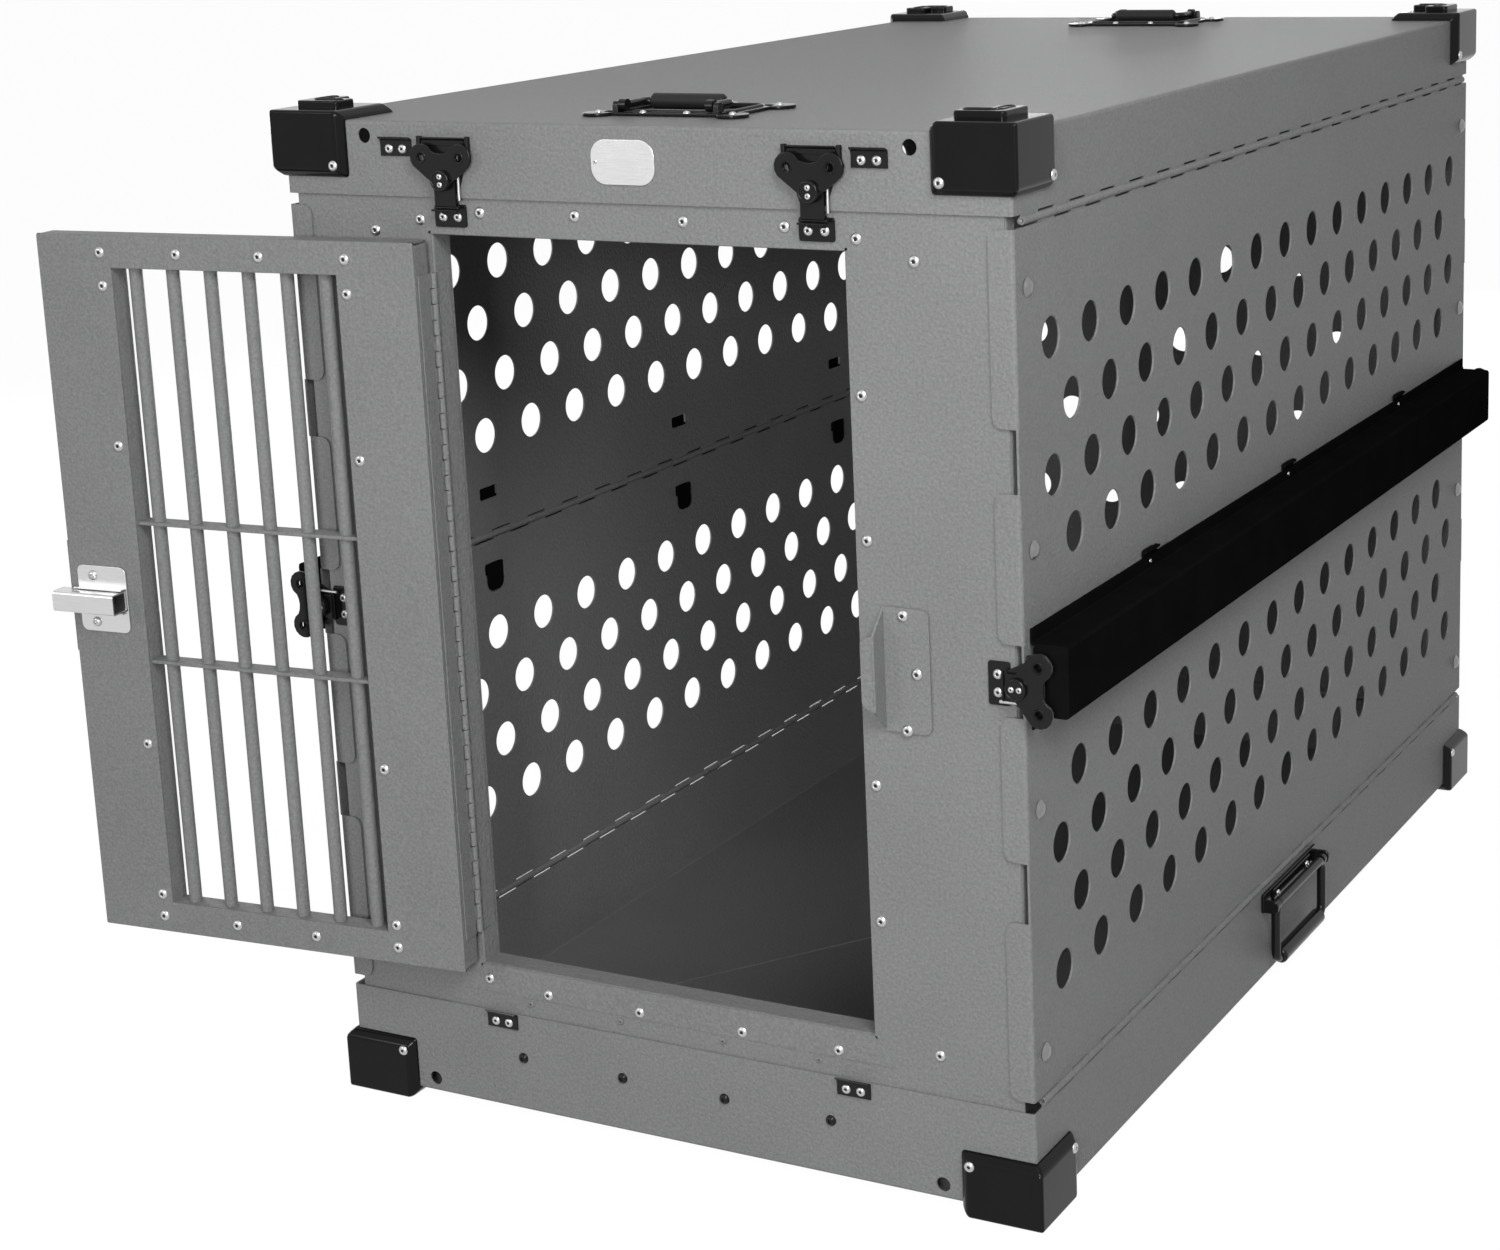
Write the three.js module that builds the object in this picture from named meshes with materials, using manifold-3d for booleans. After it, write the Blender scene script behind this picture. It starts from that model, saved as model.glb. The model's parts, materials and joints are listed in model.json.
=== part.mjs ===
// A folding dog crate of sheet aluminium: two trays, two walls of hinged perforated
// halves, a front wall with a barred door and a back wall that folds in.
// Millimetres. +X is the right side, the door wall faces -Y, +Z is up. The origin is the
// middle of the cabin floor, the base tray's upper face. Heights here are measured from
// the tray's underside, and the whole crate is lowered by one sheet.
import * as THREE from 'three';
import { mergeVertices } from 'three/addons/utils/BufferGeometryUtils.js';
import Module from 'manifold-3d';

const wasm = await Module();
wasm.setup();

// ---- driving dimensions ----
const BODY_W = 650; // across the skirts
const BODY_L = 1140; // front skirt to back skirt
const BODY_H = 835; // base underside to lid top
const BASE_SKIRT = 87;
const LID_SKIRT = 61;
const SHEET = 2;
const GAP = 0.4; // running clearance between pieces
const SEAT = 0.3; // clearance between a piece and what it is fastened to

// piano hinges
const BARREL_R = 3.2;
const BORE_R = 2;
const PIN_R = 1.4;
const KNUCKLES = 5;
const SIDE_HINGE_L = 1110;
const END_HINGE_L = 560;
const DOOR_HINGE_L = 559;
const END_PIN_Z = 72; // hinge line of the front and back walls

// perforated side walls
const HOLE_D = 31.7;
const HOLE_PITCH = 72.8;
const HOLE_COLUMNS = 15;
const ROW_PITCH = 51.8;
const FIRST_ROW = 92.6; // from the mid hinge to the nearest row
const ROWS = 4;
const TAB_W = 21;
const TAB_CORNER = 8;
const TAB_SPANS = [[28, 142], [190, 336]]; // from the mid hinge

// side rails
const RAIL_D = 31;
const RAIL_WALL = 1.6;
const RAIL_LEDGE = 28; // ledge height above the mid hinge
const RAIL_FLANGE = 11;
const RAIL_END = 10; // rail end behind the body's front plane
const RAIL_LIFT = 7.5;
const HOOK_PITCH = 330;
const HOOK_W = 22;
const TONGUE = 2;
const HOOK_DROP = 6;

// front and back walls
const WALL_SIDE_GAP = 5; // between the wall's edge and the side sheet
const WALL_LAP = 12; // how far the wall's top stands inside the lid
const WALL_FLANGE = 12;
const DOORWAY_W = 372;
const SILL = 40; // from the base's rim to the doorway
const LINTEL = 41; // from the doorway to the wall's top
const REVEAL = 21;
const VENT_COLUMNS = 5;
const VENT_ROWS = 4;
const VENT_PITCH = 92;

// door
const DOOR_OPEN = 175; // degrees, as it stands
const DOOR_GAP = 2.5;
const DOOR_T = 22;
const DOOR_SHEET = 1.8;
const STILE = 73;
const DOOR_RAIL = 27.5;
const BAR_R = 6;
const BAR_COUNT = 6;
const BAR_PITCH = 37.2;
const STRIP_T = 3;
const STRIP_D = 16;
const STRIP_OFFSET = 61; // above and below the door's middle
const LEAF_T = 1.2;
const LEAF_D = 18.5;

// door latch
const LATCH_DROP = 1.5; // below the mid hinge
const PLATE_H = 58;
const PLATE_W = 50;
const PLATE_T = 1.5;
const PLATE_INSET = 8.4;
const BOLT = 18;
const BOLT_WALL = 1.5;
const BOLT_L = 63;
const BOLT_THROW = 6;
const BOLT_TRAVEL = 8;
const STEM = 5;
const BRACKET_H = 98;
const BRACKET_W = 46;
const BRACKET_T = 2;
const BRACKET_RISE = 17;
const BRACKET_LIP = 10;
const STRIKE_X = 207;
const DOOR_STOP = 4; // how far the door's pull laps over the wall

// butterfly latches, measured from their post: u along the pull, v across, w outward
const LATCH_X = 165;
const LID_LATCH_RISE = 16; // above the lid's rim
const RAIL_LATCH_INSET = 3; // in from the side sheet
const RAIL_LATCH_DROP = 2.5; // below the mid hinge
const LID_REACH = 24;
const RAIL_REACH = 13;
const LATCH_SEAT = 2.6;
const HOOK_T = 2;
const HOOK_HALF_W = 10;
const TIP_L = 2.6;
const LATCH_TRAVEL = 5;
const POST_R = 3.5;
const WING_T = 3;
const BOSS_R = 8.75;
const BOSS_T = 5;
const LOBE_U = 18;
const LOBE_V = 18;
const LOBE_R = 11;
const WING_HOLE_R = 3.2;

// corner guards
const GUARD_W = 72;
const GUARD_T = 8;
const GUARD_H = 54;
const GUARD_CHAMFER = 4;
const STACK_TAB = 42;
const STACK_TAB_W = 24;
const STACK_TAB_H = 7;

// carrying handles
const LID_HANDLE_Y = 471;
const HANDLE_PLATE = [150, 100, 3];
const GRIP_L = 86;
const GRIP_R = 6.5;
const LID_ARM = 32;
const ARM_R = 3.4;
const HUB_R = 5;
const STUB_R = 2.2;
const STUB_BORE_R = 3;
const EAR_T = 5;
const SIDE_PIVOT_Z = 72;
const SIDE_ARM = 54;
const SIDE_GRIP_R = 8;
const SIDE_GRIP_L = 136;
const SIDE_PLATE_H = 22;

// keepers for the folded crate, holes and name plate
const STOW_LID_X = 208;
const STOW_BASE_X = 168;
const STOW_W = 35;
const STOW_H = 13;
const TRAY_HOLE_D = 12;
const TRAY_HOLE_X = 244;
const TRAY_HOLE_INSET = 12;
const TAG = [57, 34.5, 1.2];

// ---- worked out from them ----
const HALF_W = BODY_W / 2;
const HALF_L = BODY_L / 2;
const LID_BOTTOM = BODY_H - LID_SKIRT;
const KNUCKLE_ROOM = BARREL_R + GAP; // sheet edge to pin
const LOW_PIN_Z = BASE_SKIRT + KNUCKLE_ROOM;
const TOP_PIN_Z = LID_BOTTOM - KNUCKLE_ROOM;
const MID_PIN_Z = (LOW_PIN_Z + TOP_PIN_Z) / 2;
const SIDE_PIN_X = HALF_W - SHEET / 2;
const WALL_W = BODY_W - 2 * (SHEET + WALL_SIDE_GAP);
const WALL_TOP = LID_BOTTOM + WALL_LAP;
const DOORWAY_Z = [BASE_SKIRT + SILL, WALL_TOP - LINTEL];
const LATCH_Z = MID_PIN_Z - LATCH_DROP;
const LID_LATCH_Z = LID_BOTTOM + LID_LATCH_RISE;
const RAIL_LATCH_X = HALF_W - RAIL_LATCH_INSET;
const RAIL_LATCH_Z = MID_PIN_Z - RAIL_LATCH_DROP;
const WALL_FACE = HALF_L - SHEET - 0.5; // outer face of the end walls
const WALL_BACK = WALL_FACE - SHEET;
const END_PIN_Y = WALL_FACE + 0.1 - BARREL_R;
const DOORWAY_X = DOORWAY_W / 2;
const PIN_X = -DOORWAY_X + 2;
const PIN_Y = -WALL_FACE - BARREL_R - GAP;
const HOOK_W0 = LATCH_SEAT + 0.5;
const WING_W0 = HOOK_W0 + HOOK_T + 0.5;
const POST_TOP = WING_W0 + BOSS_T + 0.5;
const HEAD_T = 1.5;

const finish = {
  coat: new THREE.MeshStandardMaterial({ color: 0x84878a, roughness: 0.55, metalness: 0.3 }),
  black: new THREE.MeshStandardMaterial({ color: 0x0c0c0d, roughness: 0.3, metalness: 0.2 }),
  steel: new THREE.MeshStandardMaterial({ color: 0xc4c6c8, roughness: 0.3, metalness: 1 }),
  grip: new THREE.MeshStandardMaterial({ color: 0x121213, roughness: 0.7, metalness: 0 }),
};

// ---- helpers ----
function solid(geometry, place) {
  let shape = geometry.clone();
  if (place) shape.applyMatrix4(place);
  shape.deleteAttribute('normal');
  shape.deleteAttribute('uv');
  shape = mergeVertices(shape, 1e-5);
  return new wasm.Manifold(new wasm.Mesh({
    numProp: 3,
    vertProperties: new Float32Array(shape.attributes.position.array),
    triVerts: new Uint32Array(shape.index.array),
  }));
}

function block(x, y, z, place) {
  const geometry = new THREE.BoxGeometry(x[1] - x[0], y[1] - y[0], z[1] - z[0]);
  geometry.translate((x[0] + x[1]) / 2, (y[0] + y[1]) / 2, (z[0] + z[1]) / 2);
  return solid(geometry, place);
}

// A round bar along x, y or z, from and to on that axis, at the two other coordinates.
function rod(axis, radius, from, to, at, sides = 6, place = undefined) {
  const geometry = new THREE.CylinderGeometry(radius, radius, to - from, sides);
  geometry.rotateY(Math.PI / sides);
  const middle = (from + to) / 2;
  if (axis === 'x') {
    geometry.rotateZ(Math.PI / 2);
    geometry.translate(middle, at[0], at[1]);
  } else if (axis === 'y') {
    geometry.translate(at[0], middle, at[1]);
  } else {
    geometry.rotateX(Math.PI / 2);
    geometry.translate(at[0], at[1], middle);
  }
  return solid(geometry, place);
}

// A flat plate with this outline in its own x and y, and its thickness along z.
function plate(points, low, high, place) {
  const shape = new THREE.Shape(points.map(([x, y]) => new THREE.Vector2(x, y)));
  const geometry = new THREE.ExtrudeGeometry(shape, { depth: high - low, bevelEnabled: false });
  geometry.translate(0, 0, low);
  return solid(geometry, place);
}

const join = (...parts) => parts.flat().reduce((whole, part) => whole.add(part));
const cut = (whole, ...parts) => parts.flat().reduce((left, part) => left.subtract(part), whole);

// A place whose local x, y and z point along u, w x u and w.
function frame(origin, u, w) {
  const x = new THREE.Vector3(...u);
  const z = new THREE.Vector3(...w);
  const y = new THREE.Vector3().crossVectors(z, x);
  return new THREE.Matrix4().makeBasis(x, y, z).setPosition(...origin);
}

const crate = new THREE.Group();
crate.position.z = -SHEET;

function show(name, shape, material, parent = crate) {
  const made = shape.getMesh();
  let geometry = new THREE.BufferGeometry();
  geometry.setAttribute('position', new THREE.BufferAttribute(made.vertProperties, 3));
  geometry.setIndex(new THREE.BufferAttribute(made.triVerts, 1));
  geometry = geometry.toNonIndexed();
  geometry.computeVertexNormals();
  const piece = new THREE.Mesh(geometry, material);
  piece.name = name;
  parent.add(piece);
  return piece;
}

function placed(place, parent = crate) {
  const group = new THREE.Group();
  group.applyMatrix4(place);
  parent.add(group);
  return group;
}

// ---- hinges ----
// The knuckles of one leaf along an axis: every second one, starting at first. web says
// how each one reaches its sheet, from the start and end of the knuckle.
function knuckles(axis, half, at, first, web) {
  const step = (2 * half) / KNUCKLES;
  const made = [];
  for (let i = first; i < KNUCKLES; i += 2) {
    const from = -half + i * step + GAP / 2;
    const to = from + step - GAP;
    made.push(rod(axis, BARREL_R, from, to, at), web(from, to));
  }
  return made;
}

const bore = (axis, half, at) => rod(axis, BORE_R, -half - 1, half + 1, at);
const hingePin = (axis, half, at) => rod(axis, PIN_R, -half, half, at);

// ---- butterfly latches ----
const lidLatches = [];
const railLatches = [];
for (const [end, out] of [['front', -1], ['rear', 1]]) {
  for (const [side, sign] of [['left', -1], ['right', 1]]) {
    lidLatches.push({
      name: `lid_${end}_${side}`,
      out,
      sign,
      place: frame([sign * LATCH_X, out * HALF_L, LID_LATCH_Z], [0, 0, 1], [0, out, 0]),
      reach: LID_REACH,
    });
    railLatches.push({
      name: `rail_${end}_${side}`,
      out,
      sign,
      place: frame([sign * RAIL_LATCH_X, out * HALF_L, RAIL_LATCH_Z], [sign, 0, 0], [0, out, 0]),
      reach: RAIL_REACH,
    });
  }
}

// The post that the wing turns on, with its head, on the latch's seat.
function latchPost(place) {
  return [
    rod('z', POST_R, LATCH_SEAT - 1, POST_TOP, [0, 0], 8, place),
    rod('z', POST_R + 2, POST_TOP, POST_TOP + HEAD_T, [0, 0], 8, place),
  ];
}

function drawHook(reach) {
  const tail = POST_R + LATCH_TRAVEL + 4.5;
  const strip = block([-reach, tail], [-HOOK_HALF_W, HOOK_HALF_W], [HOOK_W0, HOOK_W0 + HOOK_T]);
  const tip = block(
    [-reach, -reach + TIP_L], [-HOOK_HALF_W, HOOK_HALF_W], [0.2, HOOK_W0 + 0.5]);
  const slot = block(
    [-POST_R - 0.7, POST_R + LATCH_TRAVEL + 1], [-POST_R - 0.5, POST_R + 0.5],
    [HOOK_W0 - 1, HOOK_W0 + HOOK_T + 1]);
  return cut(join(strip, tip), slot);
}

function wing() {
  const outline = [];
  const lobe = (side, from, to) => {
    for (let i = 0; i <= 3; i += 1) {
      const a = THREE.MathUtils.degToRad(from + ((to - from) * i) / 3);
      outline.push([LOBE_U + LOBE_R * Math.cos(a), side * LOBE_V + LOBE_R * Math.sin(a)]);
    }
  };
  outline.push([-POST_R - 3, -POST_R], [-POST_R + 1, -BOSS_R]);
  lobe(-1, -130, 20);
  lobe(1, -20, 130);
  outline.push([-POST_R + 1, BOSS_R], [-POST_R - 3, POST_R]);
  const body = plate(outline, WING_W0, WING_W0 + WING_T);
  const boss = rod('z', BOSS_R, WING_W0, WING_W0 + BOSS_T, [0, 0], 10);
  const through = (r, at) => rod('z', r, WING_W0 - 1, WING_W0 + BOSS_T + 1, at);
  return cut(
    join(body, boss), through(POST_R + 0.9, [0, 0]),
    through(WING_HOLE_R, [LOBE_U, LOBE_V]), through(WING_HOLE_R, [LOBE_U, -LOBE_V]));
}

// The keeper on an end wall: a plate on the wall's face with a raised lip for the hook.
function keeper(reach, place) {
  const face = WALL_FACE - HALF_L;
  const lip = -reach + TIP_L + GAP;
  return [
    block([lip - 17, lip + 2], [-18, 18], [face - 0.5, face + SHEET], place),
    block([lip, lip + 2], [-HOOK_HALF_W - 2, HOOK_HALF_W + 2], [face, LATCH_SEAT], place),
  ];
}

for (const latch of [...lidLatches, ...railLatches]) {
  const group = placed(latch.place);
  show(`latch_wing_${latch.name}`, wing(), finish.black, group);
  show(`latch_hook_${latch.name}`, drawHook(latch.reach), finish.black, group);
}

// ---- trays ----
// An open tray: floor low, skirts up to high. A lid is the same upside down.
function tray(low, high, floorUnder) {
  const inside = floorUnder ? [low + SHEET, high + 1] : [low - 1, high - SHEET];
  return cut(
    block([-HALF_W, HALF_W], [-HALF_L, HALF_L], [low, high]),
    block([SHEET - HALF_W, HALF_W - SHEET], [SHEET - HALF_L, HALF_L - SHEET], inside));
}

const sideAt = (sign, z) => [sign * SIDE_PIN_X, z];
const sideSheet = (sign) => [HALF_W - SHEET, HALF_W].map((x) => sign * x).sort((a, b) => a - b);
const sideWeb = (sign, z) => (from, to) => block(sideSheet(sign), [from, to], z);
const trayHoles = (z) => [-1, 1].flatMap((sign) => [-1, 1].map((end) => rod(
  'y', TRAY_HOLE_D / 2, end * HALF_L - 5, end * HALF_L + 5, [sign * TRAY_HOLE_X, z])));

// A small keeper on a skirt, for the latches of the folded crate, with its lip on top.
function stowKeeper(x, z, out) {
  const y = (low, high) => [out * (HALF_L + low), out * (HALF_L + high)].sort((a, b) => a - b);
  return [
    block([x - STOW_W / 2, x + STOW_W / 2], y(-0.5, SHEET), [z, z + STOW_H]),
    block([x - STOW_W / 2, x + STOW_W / 2], y(SHEET - 0.5, 4.5), [z + STOW_H - SHEET, z + STOW_H]),
  ];
}

function baseTray() {
  const parts = [tray(0, BASE_SKIRT, true)];
  for (const sign of [-1, 1]) {
    const web = sideWeb(sign, [BASE_SKIRT - 1, LOW_PIN_Z]);
    parts.push(...knuckles('y', SIDE_HINGE_L / 2, sideAt(sign, LOW_PIN_Z), 0, web));
    for (const out of [-1, 1]) {
      parts.push(...stowKeeper(sign * STOW_BASE_X, BASE_SKIRT - STOW_H, out));
    }
  }
  for (const out of [-1, 1]) {
    const leaf = [WALL_FACE - SHEET + 0.6, HALF_L - 1].map((y) => out * y).sort((a, b) => a - b);
    const half = END_HINGE_L / 2;
    parts.push(block([-half, half], leaf, [35, END_PIN_Z - KNUCKLE_ROOM]));
    const web = (from, to) => block([from, to], leaf, [END_PIN_Z - KNUCKLE_ROOM - 1, END_PIN_Z]);
    parts.push(...knuckles('x', half, [out * END_PIN_Y, END_PIN_Z], 0, web));
  }
  const bores = [-1, 1].flatMap((sign) => [
    bore('y', SIDE_HINGE_L / 2, sideAt(sign, LOW_PIN_Z)),
    bore('x', END_HINGE_L / 2, [sign * END_PIN_Y, END_PIN_Z]),
  ]);
  return cut(join(parts), bores, trayHoles(TRAY_HOLE_INSET));
}

function lidTray() {
  const parts = [tray(LID_BOTTOM, BODY_H, false)];
  for (const sign of [-1, 1]) {
    const web = sideWeb(sign, [TOP_PIN_Z, LID_BOTTOM + 1]);
    parts.push(...knuckles('y', SIDE_HINGE_L / 2, sideAt(sign, TOP_PIN_Z), 0, web));
    for (const out of [-1, 1]) {
      parts.push(...stowKeeper(sign * STOW_LID_X, BODY_H - 27, out));
    }
  }
  for (const latch of lidLatches) {
    parts.push(block([-12, 20], [-16, 16], [-1, LATCH_SEAT], latch.place));
    parts.push(...latchPost(latch.place));
  }
  const bores = [-1, 1].map((sign) => bore('y', SIDE_HINGE_L / 2, sideAt(sign, TOP_PIN_Z)));
  return cut(join(parts), bores, trayHoles(BODY_H - TRAY_HOLE_INSET));
}

show('base_tray', baseTray(), finish.coat);
show('lid_tray', lidTray(), finish.coat);

// ---- side walls ----
const hookPlaces = [-HOOK_PITCH, 0, HOOK_PITCH];
const railTop = MID_PIN_Z + RAIL_LEDGE;
const railBottom = MID_PIN_Z - RAIL_LEDGE;
// the tongue's underside on the rail's upper and lower flange
const tongueZ = { upper: railTop + 7, lower: railBottom - 8 };

function perforations(sign, direction) {
  const made = [];
  for (let row = 0; row < ROWS; row += 1) {
    const columns = HOLE_COLUMNS - ((row + 1) % 2);
    const z = MID_PIN_Z + direction * (FIRST_ROW + row * ROW_PITCH);
    for (let i = 0; i < columns; i += 1) {
      const y = (i - (columns - 1) / 2) * HOLE_PITCH;
      const x = [sign * (HALF_W - SHEET - 2), sign * (HALF_W + 2)].sort((a, b) => a - b);
      made.push(rod('x', HOLE_D / 2, x[0], x[1], [y, z], 8));
    }
  }
  return made;
}

function sideHalf(sign, direction) {
  const outerPin = direction > 0 ? TOP_PIN_Z : LOW_PIN_Z;
  const edges = [MID_PIN_Z + direction * KNUCKLE_ROOM, outerPin - direction * KNUCKLE_ROOM];
  const z = [...edges].sort((a, b) => a - b);
  const parts = [block(sideSheet(sign), [-HALF_L, HALF_L], z)];
  for (const out of [-1, 1]) {
    for (const span of TAB_SPANS) {
      const [low, high] = span.map((s) => MID_PIN_Z + direction * s).sort((a, b) => a - b);
      const x0 = sign * (HALF_W - TAB_W);
      const x1 = sign * (HALF_W - SHEET / 2);
      const c = sign * TAB_CORNER;
      const outline = [
        [x1, low], [x1, high], [x0 + c, high], [x0, high - TAB_CORNER],
        [x0, low + TAB_CORNER], [x0 + c, low],
      ];
      const place = frame([0, out < 0 ? SHEET - HALF_L : HALF_L, 0], [1, 0, 0], [0, -1, 0]);
      parts.push(plate(outline, 0, SHEET, place));
    }
  }
  const midFirst = direction > 0 ? 1 : 0;
  const midWeb = sideWeb(sign, [MID_PIN_Z, edges[0] + direction].sort((a, b) => a - b));
  const endWeb = sideWeb(sign, [edges[1] - direction, outerPin].sort((a, b) => a - b));
  parts.push(...knuckles('y', SIDE_HINGE_L / 2, sideAt(sign, MID_PIN_Z), midFirst, midWeb));
  parts.push(...knuckles('y', SIDE_HINGE_L / 2, sideAt(sign, outerPin), 1, endWeb));
  const tongue = direction > 0 ? tongueZ.upper : tongueZ.lower;
  const slots = hookPlaces.map((y) => block(
    [sign * HALF_W - 4, sign * HALF_W + 4], [y - HOOK_W / 2 - 2, y + HOOK_W / 2 + 2],
    [tongue - GAP, tongue + TONGUE + RAIL_LIFT + 1]));
  const bores = [MID_PIN_Z, outerPin].map((pin) => bore('y', SIDE_HINGE_L / 2, sideAt(sign, pin)));
  return cut(join(parts), bores, slots, perforations(sign, direction));
}

for (const [side, sign] of [['left', -1], ['right', 1]]) {
  show(`${side}_wall_upper_half`, sideHalf(sign, 1), finish.coat);
  show(`${side}_wall_lower_half`, sideHalf(sign, -1), finish.coat);
  const pins = { top: TOP_PIN_Z, middle: MID_PIN_Z, bottom: LOW_PIN_Z };
  for (const [place, z] of Object.entries(pins)) {
    show(
      `${side}_hinge_pin_${place}`, hingePin('y', SIDE_HINGE_L / 2, sideAt(sign, z)),
      finish.steel);
  }
}

// ---- side rails ----
// Modelled on the right, in section along y, and mirrored for the left.
function sideRail(sign) {
  const at = (low, high) => [sign * (HALF_W + low), sign * (HALF_W + high)].sort((a, b) => a - b);
  const run = [RAIL_END - HALF_L, HALF_L - RAIL_END];
  const skin = [SEAT + 0.1, SEAT + 0.1 + RAIL_WALL];
  const parts = [
    block(at(...skin), run, [railTop - RAIL_WALL, railTop + RAIL_FLANGE]),
    block(at(...skin), run, [railBottom - RAIL_FLANGE, railBottom + RAIL_WALL]),
    block(at(skin[0], RAIL_D), run, [railTop - RAIL_WALL, railTop]),
    block(at(skin[0], RAIL_D), run, [railBottom, railBottom + RAIL_WALL]),
    block(at(RAIL_D - RAIL_WALL, RAIL_D), run, [railBottom, railTop]),
  ];
  for (const tongue of Object.values(tongueZ)) {
    for (const y of hookPlaces) {
      const wide = [y - HOOK_W / 2, y + HOOK_W / 2];
      parts.push(block(at(-5.2, skin[1]), wide, [tongue, tongue + TONGUE]));
      parts.push(block(at(-5.2, -3.4), wide, [tongue - HOOK_DROP, tongue + TONGUE]));
    }
  }
  // ears over the upper slots
  for (const y of hookPlaces) {
    parts.push(block(
      at(...skin), [y - HOOK_W / 2 - 4, y + HOOK_W / 2 + 4],
      [railTop + RAIL_FLANGE - 1, railTop + RAIL_FLANGE + 6]));
  }
  for (const end of [-1, 1]) {
    const wall = [end * (HALF_L - RAIL_END), end * (HALF_L - RAIL_END - RAIL_WALL)];
    parts.push(block(at(3, RAIL_D), wall.sort((a, b) => a - b), [railBottom, railTop]));
  }
  for (const latch of railLatches.filter((l) => l.sign === sign)) {
    const far = HALF_W + RAIL_D - 3 - RAIL_LATCH_X;
    const near = HALF_W + 3.5 - RAIL_LATCH_X;
    parts.push(block([-POST_R - 3.5, far], [-16, 16], [0.6, LATCH_SEAT], latch.place));
    parts.push(block([near, far], [-16, 16], [-RAIL_END - 0.5, LATCH_SEAT], latch.place));
    parts.push(...latchPost(latch.place));
  }
  return join(parts);
}

show('left_side_rail', sideRail(-1), finish.black);
show('right_side_rail', sideRail(1), finish.black);

// ---- end walls ----
const facing = (out, low, high) => [out * low, out * high].sort((a, b) => a - b);

// The plain wall: its sheet, side and top flanges, keepers and hinge knuckles.
function endWall(out) {
  const half = WALL_W / 2;
  const bottom = END_PIN_Z + KNUCKLE_ROOM;
  const sheet = facing(out, WALL_BACK, WALL_FACE);
  const depth = facing(out, WALL_BACK - WALL_FLANGE, WALL_FACE);
  const parts = [
    block([-half, half], sheet, [bottom, WALL_TOP]),
    block([-half, SHEET - half], depth, [BASE_SKIRT + 8, WALL_TOP]),
    block([half - SHEET, half], depth, [BASE_SKIRT + 8, WALL_TOP]),
    block([-half, half], depth, [WALL_TOP - SHEET, WALL_TOP]),
  ];
  for (const latch of [...lidLatches, ...railLatches].filter((l) => l.out === out)) {
    parts.push(...keeper(latch.reach, latch.place));
  }
  const web = (from, to) => block([from, to], sheet, [END_PIN_Z, bottom + 1]);
  const hinge = END_HINGE_L / 2;
  parts.push(...knuckles('x', hinge, [out * END_PIN_Y, END_PIN_Z], 1, web));
  return [parts, bore('x', hinge, [out * END_PIN_Y, END_PIN_Z])];
}

function frontWall() {
  const [parts, hingeBore] = endWall(-1);
  const ring = SHEET;
  const [low, high] = DOORWAY_Z;
  const deep = facing(-1, WALL_BACK - REVEAL, WALL_FACE - 1);
  parts.push(block([-DOORWAY_X - ring, DOORWAY_X + ring], deep, [low - ring, high + ring]));
  const opening = block([-DOORWAY_X, DOORWAY_X], [-HALF_L - 9, 40 - HALF_L], DOORWAY_Z);
  const wall = cut(join(parts), hingeBore, opening);
  // the hinge leaf on the jamb, with its knuckles
  const middle = (low + high) / 2;
  const half = DOOR_HINGE_L / 2;
  const leaf = [-DOORWAY_X - 0.5, PIN_X - 0.6];
  const flat = block(leaf, [-WALL_FACE + 0.2, LEAF_D - WALL_FACE], [middle - half, middle + half]);
  const lift = new THREE.Matrix4().makeTranslation(0, 0, middle);
  const barrels = [];
  const step = DOOR_HINGE_L / KNUCKLES;
  for (let i = 0; i < KNUCKLES; i += 2) {
    const from = -half + i * step + GAP / 2;
    const to = from + step - GAP;
    barrels.push(rod('z', BARREL_R, from, to, [PIN_X, PIN_Y], 6, lift));
    barrels.push(block([-DOORWAY_X + 0.4, leaf[1]], [PIN_Y, 1 - WALL_FACE], [from, to], lift));
  }
  const pinBore = rod('z', BORE_R, -half - 1, half + 1, [PIN_X, PIN_Y], 6, lift);
  return cut(join(wall, flat, barrels), pinBore);
}

function backWall() {
  const [parts, hingeBore] = endWall(1);
  const vents = [];
  const middle = (END_PIN_Z + WALL_TOP) / 2;
  for (let row = 0; row < VENT_ROWS; row += 1) {
    const columns = VENT_COLUMNS - (row % 2);
    const z = middle + (row - (VENT_ROWS - 1) / 2) * VENT_PITCH;
    for (let i = 0; i < columns; i += 1) {
      const x = (i - (columns - 1) / 2) * VENT_PITCH;
      vents.push(rod('y', HOLE_D / 2, HALF_L - 12, HALF_L + 4, [x, z], 8));
    }
  }
  return cut(join(parts), hingeBore, vents);
}

show('front_wall', frontWall(), finish.coat);
show('back_wall', backWall(), finish.coat);
show(
  'front_wall_hinge_pin', hingePin('x', END_HINGE_L / 2, [-END_PIN_Y, END_PIN_Z]), finish.steel);
show('back_wall_hinge_pin', hingePin('x', END_HINGE_L / 2, [END_PIN_Y, END_PIN_Z]), finish.steel);

// ---- door, modelled shut and measured from its hinge pin, then swung open ----
const doorMiddle = (DOORWAY_Z[0] + DOORWAY_Z[1]) / 2;
const doorGroup = placed(
  new THREE.Matrix4().makeTranslation(PIN_X, PIN_Y, doorMiddle)
    .multiply(new THREE.Matrix4().makeRotationZ(-THREE.MathUtils.degToRad(DOOR_OPEN))));
const doorX = [2.1, DOORWAY_X - DOOR_GAP - PIN_X];
const doorZ = [DOOR_GAP - (DOORWAY_Z[1] - DOORWAY_Z[0]) / 2, (DOORWAY_Z[1] - DOORWAY_Z[0]) / 2 - DOOR_GAP];
const doorY = [-WALL_FACE - PIN_Y, -WALL_FACE - PIN_Y + DOOR_T];
const windowX = [doorX[0] + STILE, doorX[1] - STILE];
const windowZ = [doorZ[0] + DOOR_RAIL, doorZ[1] - DOOR_RAIL];
const grow = (span, by) => [span[0] - by, span[1] + by];
const latchAt = LATCH_Z - doorMiddle;
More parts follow.
